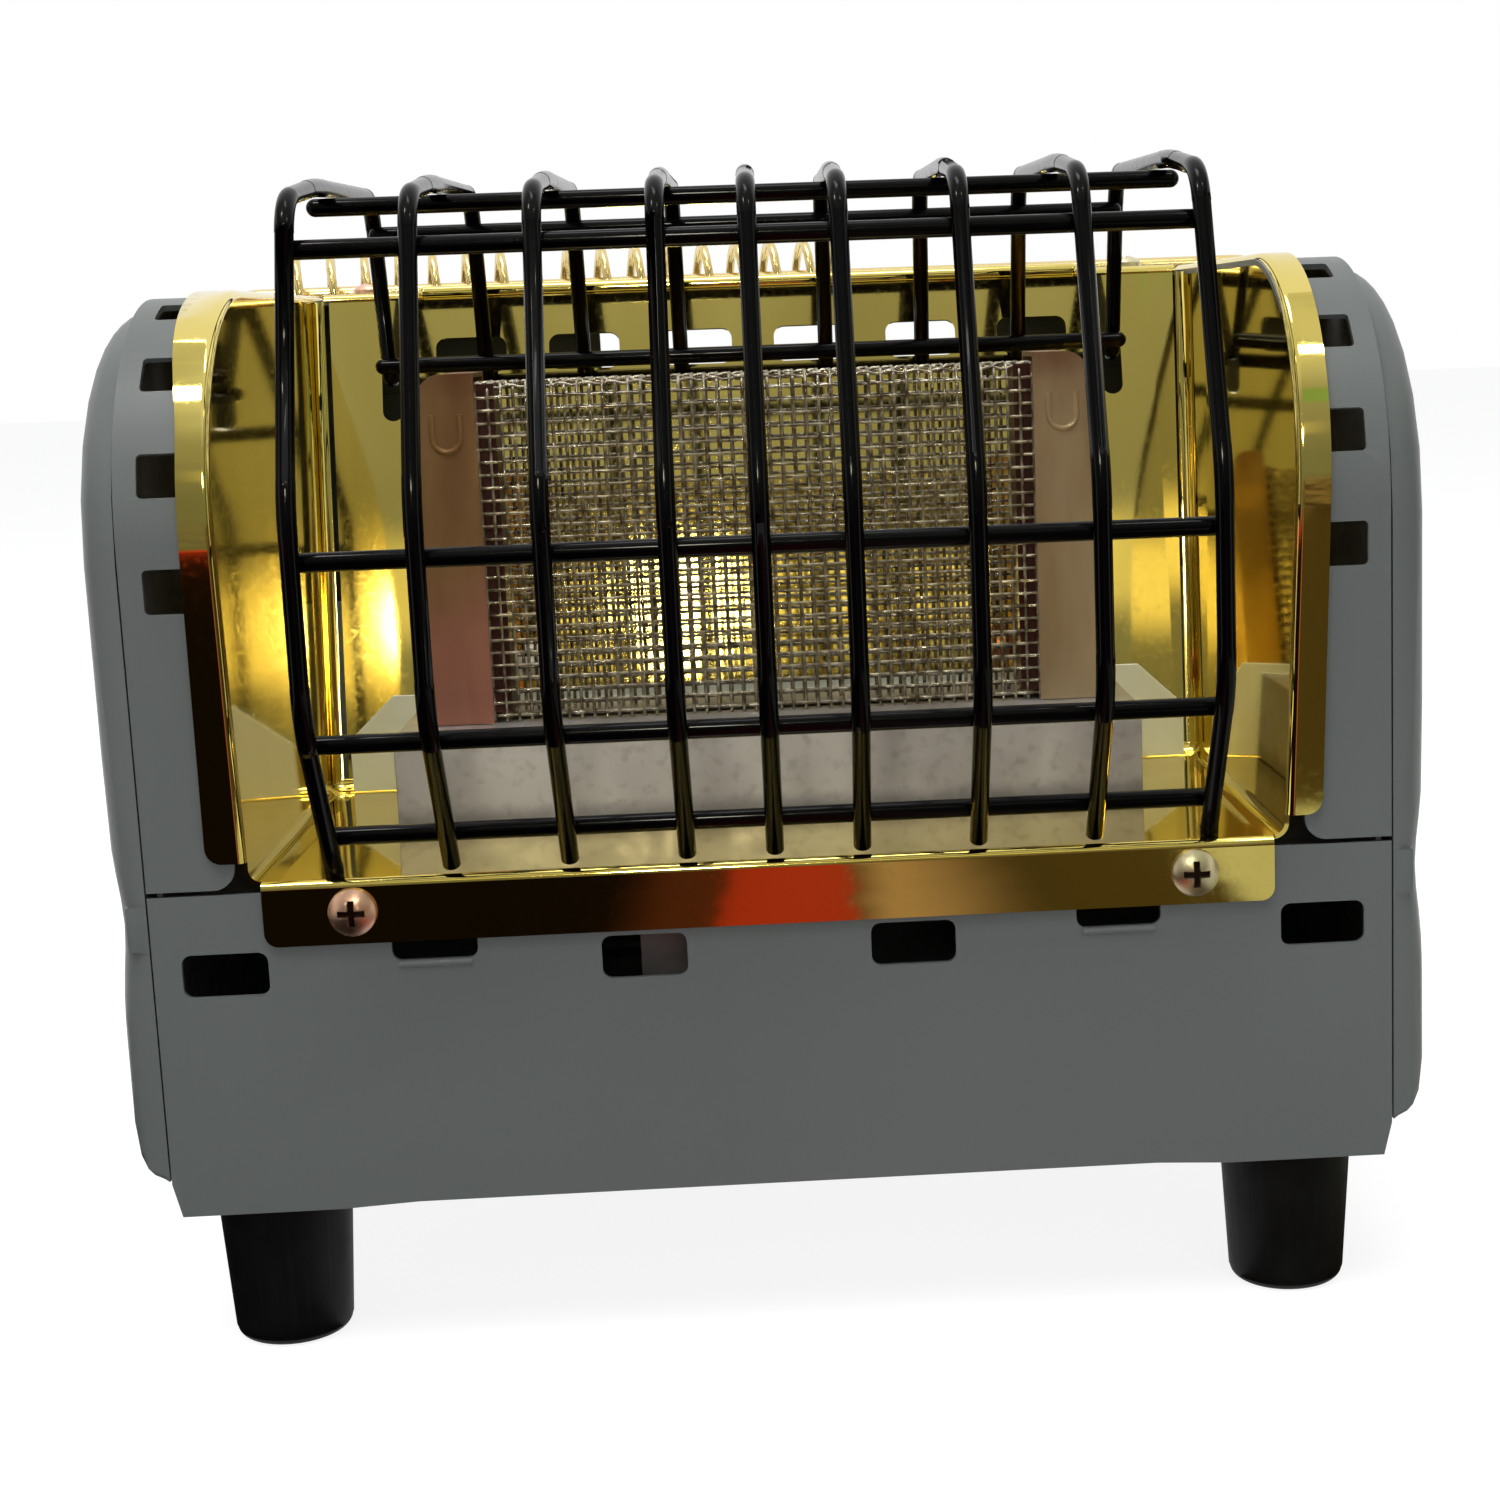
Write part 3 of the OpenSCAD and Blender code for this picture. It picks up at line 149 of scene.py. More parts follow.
def colour(*levels):
    """The linear colour of an sRGB one whose red, green and blue run from 0 to 255."""
    shares = [level / 255 for level in levels]
    return (*[c / 12.92 if c < 0.04045 else ((c + 0.055) / 1.055) ** 2.4 for c in shares], 1)


def rounded_off(shape, parts, width, segments, affect="EDGES"):
    """Rounds edges or corners and returns the new faces."""
    return bmesh.ops.bevel(
        shape, geom=parts, offset=width, offset_type="OFFSET", segments=segments, profile=0.5,
        affect=affect, clamp_overlap=True, material=-1,
    )["faces"]


def corners_over(shape, degrees):
    """The edges at which two faces meet at more than this angle."""
    sharp = math.radians(degrees)
    return [e for e in shape.edges if e.is_manifold and e.calc_face_angle() > sharp]


def rounded_copy(node, width=0.0002, segments=2, sharp=30):
    """A clean copy of a node's solid, its corners rounded off and marked for a painted edge
    highlight.
    """
    shape = bmesh.new()
    shape.from_mesh(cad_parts[node].data)
    bmesh.ops.remove_doubles(shape, verts=shape.verts, dist=2e-6)
    bmesh.ops.dissolve_limit(
        shape, angle_limit=math.radians(0.5), verts=shape.verts, edges=shape.edges)
    highlit_edge = shape.faces.layers.float.new("highlit_edge")
    if width:
        for face in rounded_off(shape, corners_over(shape, sharp), width, segments):
            face[highlit_edge] = 1.0
    return shape


def finished(name, shape, finish, body, *nodes, sharp=20, flats=False):
    """The shape as a smooth-shaded piece that rides on a body and stands for CAD nodes."""
    mesh = bpy.data.meshes.new(name)
    shape.to_mesh(mesh)
    shape.free()
    mesh.shade_smooth()
    mesh.set_sharp_from_angle(angle=math.radians(sharp))
    mesh.materials.append(finish.material)
    piece = bpy.data.objects.new(name, mesh)
    bpy.context.scene.collection.objects.link(piece)
    if flats:
        # Large faces keep their own direction, and the rounded edges take it over
        weighted = piece.modifiers.new("flats", "WEIGHTED_NORMAL")
        weighted.weight, weighted.keep_sharp = 100, True
    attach(piece, body)
    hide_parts(*nodes)


grey = Finish("grey_enamel", Specular_IOR_Level=0.35)
mottle = grey.noise(9, 3).between(0.3, 0.75)
paint = grey.mix(mottle, colour(93, 97, 96), colour(98, 102, 101))
# Painted highlight: the rounded edges are painted a paler grey, for the light that catches them
grey.put("Base Color", grey.mix(grey.attribute("highlit_edge") * 0.7, paint, colour(150, 154, 153)))
grey.put("Roughness", grey.noise(420, 2) * 0.10 + 0.38)
grey.bump(grey.noise(1500, 3), 0.00003, 0.5)


def windowed(shape, *reach):
    """Cuts a window with closed sides through sheets, from low to high on each axis."""

    def touches(face):
        places = zip(*(v.co for v in face.verts))
        return all(min(p) < high and max(p) > low for p, (low, high) in zip(places, reach))

    for axis in range(3):
        for level in reach[axis]:
            place, facing = Vector(), Vector()
            place[axis], facing[axis] = level, 1
            touched = [f for f in shape.faces if touches(f)]
            parts = dict.fromkeys(p for f in touched for p in (f, *f.edges, *f.verts))
            bmesh.ops.bisect_plane(
                shape, geom=list(parts), dist=1e-7, plane_co=place, plane_no=facing)
    inside = [f for f in shape.faces if all(
        low < c < high for c, (low, high) in zip(f.calc_center_median(), reach))]
    if inside:
        bmesh.ops.delete(shape, geom=inside, context="FACES")
        bmesh.ops.bridge_loops(shape, edges=[e for e in shape.edges if e.is_boundary])


# The two rear sheets are open behind the reflector's middle slots
REAR_WINDOWS = ((-0.0310, -0.0245), (-0.0206, -0.0024), (0.0024, 0.0206), (0.0252, 0.0434))
WINDOW_DEPTH = (0.036, 0.060)
WINDOW_RISE = (0.1535, 0.1632)
for node in ("front_panel", "upper_shell", "back_panel"):
    panel = rounded_copy(node, 0.00025)
    if node != "front_panel":
        for window in REAR_WINDOWS:
            windowed(panel, window, WINDOW_DEPTH, WINDOW_RISE)
    finished("body_" + node, panel, grey, "heater", node)


# Side covers: pressed from sheet, standing proud of the body with wide rounded
# edges, a drawn-in waist and a small D-shaped bead, sprayed like the body.
for side in ("left", "right"):
    node = "side_cover_" + side
    cover = rounded_copy(node, 0)
    finished("cover_" + side, cover, grey, "heater", node, sharp=50, flats=True)


# Box reflector: thin steel with a mirror-bright gold finish, folded into a floor, a
# leaning back wall with slots and two side walls that spread upwards. Its flanges
# lie over the painted body and follow its arch, and its edges are cut bare; the bare
# edges are painted near-white as well, as a painted highlight.
gold = Finish("gold_reflector", Metallic=1.0)
bare_edge_highlight = gold.attribute("highlit_edge")
streak = gold.noise(60, 2, (1, 1, 0.15)).between(0.35, 0.8)
gold_tone = gold.mix(streak, colour(230, 209, 118), colour(240, 220, 132))
# The bare cut edges are painted near-white: bare metal with a painted highlight
gold.put("Base Color", gold.mix(bare_edge_highlight * 0.75, gold_tone, colour(255, 232, 205)))
grain = gold.noise(900, 3).between(0.45, 0.8)
gold.put("Roughness", grain * 0.05 + 0.05 + bare_edge_highlight * 0.15)
# The side walls are sprung out of square by a degree or three, which shows in
# reflections alone
SPRUNG_LEFT, SPRUNG_RIGHT = 0.021, 0.055
on_left_wall = 1.0 - gold.axis("X").between(-0.0785, -0.0780)
on_right_wall = gold.axis("X").between(0.0780, 0.0785)
lean = on_left_wall * SPRUNG_LEFT - on_right_wall * SPRUNG_RIGHT
sprung = gold.add("CombineXYZ", {}, {"Y": lean})
square = gold.add("NewGeometry", {}, {}, "Normal")
facing = gold.add("VectorMath", {"operation": "ADD"}, {0: square, 1: sprung})
facing = gold.add("VectorMath", {"operation": "NORMALIZE"}, {0: facing})
gold.bump(gold.noise(22, 1), 0.0004, 0.08, Normal=facing)

SHEET = 0.0007
FOLD = 0.0014
FILLET = 0.0019
REAR_FOLD = 0.00197
HEM_CORNER, BRIM_CORNER = 0.0022, 0.0026
reflector_low, reflector_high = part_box("reflector")
BODY_FRONT = -0.075643
FLANGE_FRONT = BODY_FRONT - 0.0010
FLOOR_Z = 0.0794
ARCH_CENTRE = Vector((0, BODY_FRONT + 0.0392, 0.1317))
FOLD_Y = FLANGE_FRONT + FOLD
CROWN_Z = ARCH_CENTRE.z + ARCH_CENTRE.y - FOLD_Y
WALL_FOOT = Vector((0, BODY_FRONT + 0.0812, FLOOR_Z))
WALL_UP = Vector((0, 0.0278, 0.0925)).normalized()
WALL_TOP = WALL_FOOT + WALL_UP * ((CROWN_Z - FLOOR_Z) / WALL_UP.z)
FLANGE_END = FLOOR_Z + 0.0033
# Half widths at the floor, on the left and on the right
WALL_X = {-1: 0.0829, 1: 0.0817}
BRIM_X = {-1: 0.0892, 1: 0.0875}
X_AXIS, Z_AXIS = Vector((1, 0, 0)), Vector((0, 0, 1))


def drawn(shape, parts, *moves):
    """Draws corners into edges, or edges into faces, and returns the last ones.

    A move is a vector, or a turn's centre, axis, degrees and number of steps.
    """
    for move in moves:
        is_turn = not isinstance(move, Vector)
        for _ in range(move[3] if is_turn else 1):
            if isinstance(parts[0], bmesh.types.BMVert):
                parts = bmesh.ops.extrude_vert_indiv(shape, verts=parts)["verts"]
                tips = parts
            else:
                made = bmesh.ops.extrude_edge_only(shape, edges=parts)["geom"]
                parts = [g for g in made if isinstance(g, bmesh.types.BMEdge)]
                tips = [g for g in made if isinstance(g, bmesh.types.BMVert)]
            if is_turn:
                turn = Matrix.Rotation(math.radians(move[2] / move[3]), 3, move[1])
                bmesh.ops.rotate(shape, verts=tips, cent=move[0], matrix=turn)
            else:
                bmesh.ops.translate(shape, verts=tips, vec=move)
    return parts


def corners_at(y, z):
    """The sheet's corners at this depth and height, from left to right."""
    found = [v for v in sheet.verts if abs(v.co.y - y) < 1e-6 and abs(v.co.z - z) < 1e-6]
    return sorted(found, key=lambda v: v.co.x)


# A side wall's outline goes up the front, over the arch and down the leaning wall
sheet = bmesh.new()
up_flange = Z_AXIS * (ARCH_CENTRE.z - FLANGE_END)
over_arch = (ARCH_CENTRE, X_AXIS, -90, 24)
crown_back = Vector((0, WALL_TOP.y - ARCH_CENTRE.y, 0))
for side in (-1, 1):
    start = sheet.verts.new((side * WALL_X[side], FOLD_Y, FLOOR_Z))
    drawn(sheet, [start], Z_AXIS * (FLANGE_END - FLOOR_Z), up_flange, over_arch, crown_back,
          WALL_FOOT - WALL_TOP, Vector((0, FOLD_Y - WALL_FOOT.y, 0)))
    bmesh.ops.remove_doubles(sheet, verts=sheet.verts, dist=1e-6)
    bmesh.ops.contextual_create(sheet, geom=[e for e in sheet.edges if e.is_wire])

# The floor and the back wall join them, with a fillet in every fold
front = corners_at(FOLD_Y, FLOOR_Z)
foot = corners_at(WALL_FOOT.y, FLOOR_Z)
top = corners_at(WALL_TOP.y, CROWN_Z)
sheet.faces.new((front[0], front[1], foot[1], foot[0]))
sheet.faces.new((foot[0], foot[1], top[1], top[0]))
rounded_off(sheet, [e for e in sheet.edges if len(e.link_faces) == 2], FILLET, 7)
long_edges = [e for e in sheet.edges if abs(e.verts[0].co.x - e.verts[1].co.x) > 0.1]
floor_edge = min(long_edges, key=lambda e: e.verts[0].co.y)
top_edge = max(long_edges, key=lambda e: e.verts[0].co.z)
wall_face = max(top_edge.link_faces, key=lambda f: f.calc_area())

# The front flange folds down from the floor, and the rear one back from the wall
floor_turn = (Vector((0, FOLD_Y, FLOOR_Z - FOLD)), X_AXIS, 90, 6)
hem = drawn(sheet, [floor_edge], floor_turn, Z_AXIS * (reflector_low.z - FLOOR_Z + FOLD))
rounded_off(sheet, list(hem[0].verts), HEM_CORNER, 6, "VERTICES")
rear_centre = WALL_TOP + Vector((0, WALL_UP.z, -WALL_UP.y)) * REAR_FOLD
rear_angle = -math.degrees(math.acos(WALL_UP.y))
rear = drawn(sheet, [top_edge], (rear_centre, X_AXIS, rear_angle, 6))
drawn(sheet, rear, Vector((0, reflector_high.y - rear[0].verts[0].co.y, 0)))

# The arched flanges fold outwards from the side walls
for side in (-1, 1):
    start = sheet.verts.new((side * WALL_X[side], FOLD_Y, FLANGE_END))
    fold_turn = (start.co + X_AXIS * side * FOLD, Z_AXIS, side * 90, 6)
    old = set(sheet.edges)
    tip = drawn(sheet, [start], fold_turn, X_AXIS * side * (BRIM_X[side] - WALL_X[side] - FOLD))
    section = [e for e in sheet.edges if e not in old]
    drawn(sheet, section, up_flange, over_arch, crown_back,
          Vector((0, reflector_high.y - WALL_TOP.y, 0)))
    rounded_off(sheet, tip, BRIM_CORNER, 6, "VERTICES")
bmesh.ops.remove_doubles(sheet, verts=sheet.verts, dist=1e-6)
bmesh.ops.recalc_face_normals(sheet, faces=sheet.faces)

# The back wall's flat is filled again with its six slots, the guard's two keyholes
# and the two holes for the probes, and stands clear of the side walls by a slit
LEFT_SLIT, RIGHT_SLIT = 0.0010, 0.0005
SLOT_PITCH, SLOT_RISE = 0.0218, 0.0836
KEYHOLE_X, KEYHOLE_RISE = 0.0698, 0.0765
PROBE_X, PROBE_RISE = 0.0440, 0.0240
# Width, height and radius of the corners
SLOT = (0.0136, 0.0070, 0.0020)
KEYHOLE = (0.0040, 0.0110, 0.00199)
PROBE_HOLE = (0.0070, 0.0070, 0.00349)
wall_place = Matrix((
    (1, 0, 0, 0), (0, WALL_UP.y, -WALL_UP.z, WALL_FOOT.y),
    (0, WALL_UP.z, WALL_UP.y, WALL_FOOT.z), (0, 0, 0, 1)))
flat = [wall_place.inverted() @ v.co for v in wall_face.verts]
left, right = min(c.x for c in flat) + LEFT_SLIT, max(c.x for c in flat) - RIGHT_SLIT
bottom, upper = min(c.y for c in flat), max(c.y for c in flat)
bmesh.ops.delete(sheet, geom=[wall_face], context="FACES_ONLY")


def rounded_outline(x, y, width, height, radius):
    """Points round a rectangle with rounded corners."""
    points = []
    for quarter, (x_side, y_side) in enumerate(((1, 1), (-1, 1), (-1, -1), (1, -1))):
        for k in range(7):
            angle = math.radians(90 * quarter + 15 * k)
            points.append((x + x_side * (width / 2 - radius) + radius * math.cos(angle),
                           y + y_side * (height / 2 - radius) + radius * math.sin(angle)))
    return points


holes = [((i - 2.5) * SLOT_PITCH, SLOT_RISE, *SLOT) for i in range(6)]
holes += [(side * KEYHOLE_X, KEYHOLE_RISE, *KEYHOLE) for side in (-1, 1)]
holes += [(side * PROBE_X, PROBE_RISE, *PROBE_HOLE) for side in (-1, 1)]
outlines = [[(left, bottom), (right, bottom), (right, upper), (left, upper)]]
outlines += [rounded_outline(*hole) for hole in holes]
drawing = bpy.data.curves.new("back_wall", "CURVE")
drawing.dimensions, drawing.fill_mode = "2D", "FRONT"
for outline in outlines:
    spline = drawing.splines.new("POLY")
    spline.points.add(len(outline) - 1)
    spline.points.foreach_set("co", [c for x, y in outline for c in (x, y, 0, 1)])
    spline.use_cyclic_u = True
holder = bpy.data.objects.new("back_wall", drawing)
plate = bpy.data.meshes.new_from_object(holder)
bpy.data.objects.remove(holder)
plate.transform(wall_place)
old_parts = {*sheet.verts, *sheet.edges}
sheet.from_mesh(plate)
bpy.data.meshes.remove(plate)
bmesh.ops.dissolve_limit(
    sheet, angle_limit=0.01, verts=[v for v in sheet.verts if v not in old_parts],
    edges=[e for e in sheet.edges if e not in old_parts])

# The side walls spread upwards, and their flanges widen and bulge over the arch
WALL_SPREAD = {-1: 0.018, 1: 0.040}
BRIM_SPREAD = {-1: 0.0, 1: 0.034}
BRIM_BULGE = {-1: 0.0022, 1: 0.0}
BULGE_START, BULGE_RISE = 0.069, 0.022
for v in sheet.verts:
    side = 1 if v.co.x > 0 else -1
    lift = v.co.z - FLOOR_Z
    if abs(v.co.x) > WALL_X[side] - 0.0035 and lift > 0:
        outwards = (abs(v.co.x) - WALL_X[side]) / (BRIM_X[side] - WALL_X[side])
        outwards = max(0.0, min(1.0, outwards))
        swell = max(0.0, min(1.0, (lift - BULGE_START) / BULGE_RISE))
        brim = BRIM_SPREAD[side] * lift + BRIM_BULGE[side] * swell ** 2 * (3 - 2 * swell)
        v.co.x += side * (WALL_SPREAD[side] * lift * (1 - outwards) + brim * outwards)
bmesh.ops.solidify(sheet, geom=list(sheet.faces), thickness=SHEET)
# The rounded edges are marked for the painted highlight along them
highlit_edge = sheet.faces.layers.float.new("highlit_edge")
for face in rounded_off(sheet, corners_over(sheet, 60), 0.00028, 2):
    face[highlit_edge] = 1.0
bmesh.ops.recalc_face_normals(sheet, faces=sheet.faces)

# A lip is rolled along the top of the back wall
LIP_RADIUS, LIP_HALF, LIP_BACK, LIP_Z = 0.0016, 0.063, 0.0011, 0.1713
lip = bmesh.ops.create_uvsphere(sheet, u_segments=24, v_segments=13, radius=LIP_RADIUS)["verts"]
bmesh.ops.rotate(sheet, verts=lip, matrix=Matrix.Rotation(math.radians(90), 3, "Y"))
for v in lip:
    v.co += Vector((math.copysign(LIP_HALF, v.co.x), WALL_TOP.y + LIP_BACK, LIP_Z))
finished("box_reflector", sheet, gold, "heater", "reflector", sharp=30, flats=True)


# Galvanised parts: the burner's tray with its upright rear plate, the floor pan,
# the shield and a bracket are cut from zinc-coated sheet and left bare.
zinc = Finish("galvanised_sheet")
spangle = zinc.noise(260, 4).between(0.35, 0.7)
cloud = zinc.noise(40, 2, (1, 1, 0.4)).between(0.3, 0.7)
zinc_tone = zinc.mix(cloud, colour(150, 145, 146), colour(178, 175, 174))
speck = zinc.noise(420, 4).between(0.50, 0.75) * 0.3
zinc_tone = zinc.mix(speck, zinc_tone, colour(104, 96, 92))
# Painted shade: the sheets are painted darker towards their bottom edge, near the reflector's
# floor
shaded_low_band = 1.0 - (zinc.axis("Z") + zinc.noise(300, 3) * 0.002).between(0.0815, 0.0850)
zinc_tone = zinc.mix(shaded_low_band * 0.6, zinc_tone, colour(84, 80, 80))
# The tray's upright rear plate is duller than the rest, and painted paler as painted light, for
# the strong light that falls on it
tray_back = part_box("burner_tray")[1].y
lit_rear_plate = zinc.axis("Y").between(tray_back - 0.0012, tray_back - 0.0009)
zinc.put("Base Color", zinc.mix(lit_rear_plate, zinc_tone, colour(232, 235, 214)))
zinc.put("Metallic", 0.7 - lit_rear_plate * 0.7)
zinc.put("Roughness", spangle * 0.16 + 0.36)
zinc.bump(zinc.noise(700, 2), 0.00005, 0.3)
BRACKET_SHIFT = 0.0065
for node in (
    "burner_tray", "burner_bracket", "heat_shield", "chassis", "tilt_switch", "mixing_tube",
):
    piece = rounded_copy(node, 0.00015)
    if node == "burner_bracket":
        bmesh.ops.translate(piece, verts=piece.verts, vec=(BRACKET_SHIFT, 0, 0))
    finished("zinc_" + node, piece, zinc, "heater", node)


# Burner posts: two folded end posts of thin steel, turned copper brown by heat,
# with a small raised U near the top.
tint = Finish("heat_tinted_steel", Metallic=0.6)
tint_x, tint_z = tint.axis("X"), tint.axis("Z")
tarnish = tint.noise(110, 3, (1, 1, 0.25)).between(0.35, 0.7)
left_tone = tint.mix(tarnish, colour(150, 118, 76), colour(130, 94, 56))
pinkish = 1.0 - (tint_z + tint.noise(90, 3) * 0.02).between(0.120, 0.138)
left_tone = tint.mix(pinkish, left_tone, colour(172, 118, 98))
right_tone = tint.mix(tarnish, colour(180, 160, 126), colour(158, 134, 100))
post_tone = tint.mix(tint_x.between(-0.01, 0.01), left_tone, right_tone)
post_tone = tint.mix(tint_z.between(0.095, 0.156) * 0.25, post_tone, colour(120, 84, 52))
scorched = (tint_z + tint.noise(160, 3) * 0.010).between(0.156, 0.166) * 0.8
post_tone = tint.mix(scorched, post_tone, colour(112, 58, 38))
inner_side = 1.0 - tint_x.maths("ABSOLUTE").between(0.0480, 0.0483)
tint.put("Base Color", tint.mix(inner_side, post_tone, colour(70, 34, 26)))
tint.put("Roughness", tint.noise(600, 2, (1, 1, 0.1)) * 0.2 + 0.28)
tint.bump(tint.noise(900, 2, (1, 1, 0.06)), 0.00004, 0.35)
# A dark inner edge of each post shows behind the end of the mesh
INNER_EDGE_WIDTH, INNER_EDGE_DEPTH, INNER_EDGE_OUT = 0.0036, 0.0120, 0.0014
for side, inwards in (("left", 1), ("right", -1)):
    node = "burner_post_" + side
    post = rounded_copy(node, 0.0004, 3)
    low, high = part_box(node)
    edge_place = (low + high) / 2 - Vector((0, 0, 0.0002))
    edge_place.x = (high.x if side == "left" else low.x) + inwards * INNER_EDGE_OUT
    edge_size = (INNER_EDGE_WIDTH, INNER_EDGE_DEPTH, high.z - low.z - 0.0036, 1)
    bmesh.ops.create_cube(
        post, size=1, matrix=Matrix.Translation(edge_place) @ Matrix.Diagonal(edge_size))
    finished("post_" + side, post, tint, "heater", node, sharp=30, flats=True)


# Mesh hood: plain-woven steel wire folded over the top of the burner between
# the posts. Each wire passes over and under the ones across it.
WEAVE_WIRE = 0.00062
WEAVE_PITCH = 0.0022
WEAVE_LIFT = WEAVE_WIRE * 0.5
HOOD_CORNER = 0.003
mesh_low, mesh_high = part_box("burner_mesh")
mesh_middle = (mesh_low + mesh_high) / 2
hood_reach = mesh_high.x - 0.0002
hood_half = (mesh_high.y - mesh_low.y) / 2 - WEAVE_WIRE * 1.1
hood_base, hood_top = mesh_low.z, mesh_high.z - WEAVE_WIRE * 1.1
# The section's straight sides, its two bends and its flat top
hood_side = hood_top - hood_base - HOOD_CORNER
hood_bend = HOOD_CORNER * math.pi / 2
hood_flat = 2 * (hood_half - HOOD_CORNER)
hood_length = 2 * (hood_side + hood_bend) + hood_flat


def hood_point(along, lift):
    """A point of the hood's section, at a distance along it from the front foot."""
    for start, start_angle, centre_y in (
        (hood_side, 180, -hood_half + HOOD_CORNER),
        (hood_side + hood_bend + hood_flat, 90, hood_half - HOOD_CORNER),
    ):
        if start <= along <= start + hood_bend:
            angle = math.radians(start_angle - (along - start) / hood_bend * 90)
            reach = HOOD_CORNER + lift
            return (mesh_middle.y + centre_y + reach * math.cos(angle),
                    hood_top - HOOD_CORNER + reach * math.sin(angle))
    if along < hood_side:
        return mesh_middle.y - hood_half - lift, hood_base + along
    past_bend = along - hood_side - hood_bend
    if past_bend < hood_flat:
        return mesh_middle.y - hood_half + HOOD_CORNER + past_bend, hood_top + lift
    past_flat = past_bend - hood_flat - hood_bend
    return mesh_middle.y + hood_half + lift, hood_top - HOOD_CORNER - past_flat


def bent_wires(name, paths, thickness, sides=1):
    """Round wires of one thickness along lists of points, as one mesh."""
    curve = bpy.data.curves.new(name, "CURVE")
    curve.dimensions = "3D"
    curve.bevel_depth = thickness / 2
    curve.bevel_resolution = sides
    curve.use_fill_caps = True
    for path in paths:
        spline = curve.splines.new("POLY")
        spline.points.add(len(path) - 1)
        spline.points.foreach_set("co", [c for p in path for c in (*p, 1)])
    holder = bpy.data.objects.new(name, curve)
    mesh = bpy.data.meshes.new_from_object(holder)
    bpy.data.objects.remove(holder)
    shape = bmesh.new()
    shape.from_mesh(mesh)
    bpy.data.meshes.remove(mesh)
    bmesh.ops.recalc_face_normals(shape, faces=shape.faces)
    return shape


warp_count = int((2 * hood_reach) / WEAVE_PITCH)
weft_count = int(hood_length / WEAVE_PITCH)
warps = []
for i in range(warp_count):
    x = (i - (warp_count - 1) / 2) * WEAVE_PITCH
    warp = []
    for k in range(2 * weft_count + 1):
        wave = math.cos(k * math.pi / 2) * (1 if i % 2 else -1)
        along = min(hood_length, k * hood_length / (2 * weft_count))
        warp.append((x, *hood_point(along, WEAVE_LIFT * wave)))
    warps.append(warp)
wefts = []
for k in range(weft_count):
    along = (k + 0.5) * hood_length / weft_count
    weft = []
    for i in range(2 * warp_count + 1):
        wave = math.sin((i + 0.5) * math.pi / 2) * (1 if k % 2 else -1)
        weft.append(((i - warp_count) / 2 * WEAVE_PITCH, *hood_point(along, WEAVE_LIFT * wave)))
    wefts.append(weft)
weave = bent_wires("weave", warps + wefts, WEAVE_WIRE)
steel = Finish("mesh_steel", Metallic=0.9)
soot = steel.noise(70, 3).between(0.35, 0.75)
# Painted glints: the wires are speckled between a dark tone and a pale painted highlight
glint = steel.noise(600, 2).between(0.30, 0.70)
wire_tone = steel.mix(glint, colour(108, 97, 80), colour(206, 198, 178))
steel.put("Base Color", steel.mix(soot * 0.4, wire_tone, colour(112, 100, 82)))
steel.put("Roughness", soot * 0.15 + 0.24)
finished("mesh_hood", weave, steel, "heater", "burner_mesh", sharp=80)


# Wire guard: nine hoops of 3 mm wire, bent forwards and over the top, with seven
# straight rails welded inside them, dipped in gloss black.
black = Finish("black_guard", Base_Color=colour(2, 2, 4), Specular_IOR_Level=0.07,
               Coat_Weight=0.12, Coat_Roughness=0.03)
black.put("Roughness", black.noise(500, 2) * 0.12 + 0.12)
black.bump(black.noise(350, 2), 0.00008, 0.25)
for part in ("hoops_left", "hoops_middle", "hoops_right", "rails"):
    node = "guard_" + part
    finished(node, rounded_copy(node, 0), black, "heater", node, sharp=60)


# Handle: a bent bright wire that swings in two bushes, and a coil of thinner wire
# wound round it that slides along as the grip.
bright = Finish("gold_wire", Metallic=1.0, Base_Color=colour(228, 205, 140))
bright.put("Roughness", bright.noise(700, 2) * 0.12 + 0.14)
bright.bump(bright.noise(900, 2), 0.00003, 0.3)
finished("bail_wire", rounded_copy("handle_bail", 0), bright, "bail", "handle_bail")
COIL_WIRE = 0.0018
COIL_TURNS = 16.5
COIL_STEPS = 24
grip_low, grip_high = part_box("handle_grip")
grip_middle = (grip_low + grip_high) / 2
coil_radius = (grip_high.z - grip_low.z - COIL_WIRE) / 2
coil_reach = (grip_high.x - grip_low.x - COIL_WIRE) / 2
coil_points = int(COIL_TURNS * COIL_STEPS)
coil_path = []
for k in range(coil_points + 1):
    turn = k / COIL_STEPS * math.tau
    coil_path.append(grip_middle + Vector((
        (2 * k / coil_points - 1) * coil_reach,
        -coil_radius * math.sin(turn), coil_radius * math.cos(turn))))
coil = bent_wires("coil", [coil_path], COIL_WIRE, 2)
finished("coil_grip", coil, bright, "grip", "handle_grip", sharp=80)


# Feet: moulded black rubber with a rounded lower edge, screwed on from below.
rubber = Finish("foot_rubber", Specular_IOR_Level=0.15)
rubber_tone = rubber.noise(120, 4).between(0.3, 0.8)
rubber.put("Base Color", rubber.mix(rubber_tone, colour(9, 9, 10), colour(18, 18, 19)))
rubber.put("Roughness", rubber.noise(300, 2) * 0.15 + 0.5)
rubber.bump(rubber.noise(1800, 2), 0.00006, 0.4)
for place in ("front_left", "front_right", "rear_left", "rear_right"):
    node = "foot_" + place
    finished("rubber_" + node, rounded_copy(node, 0.0004, 3, 50), rubber, "heater", node)


# Screws: cross-recess pan heads, copper-tinted on the reflector and zinc plated
# on the painted panels and under the feet.
copper_tint = Finish("copper_tint_screw", Metallic=1.0)
on_right = copper_tint.axis("X").between(-0.01, 0.01)
head_tone = copper_tint.mix(on_right, colour(226, 184, 160), colour(214, 204, 170))
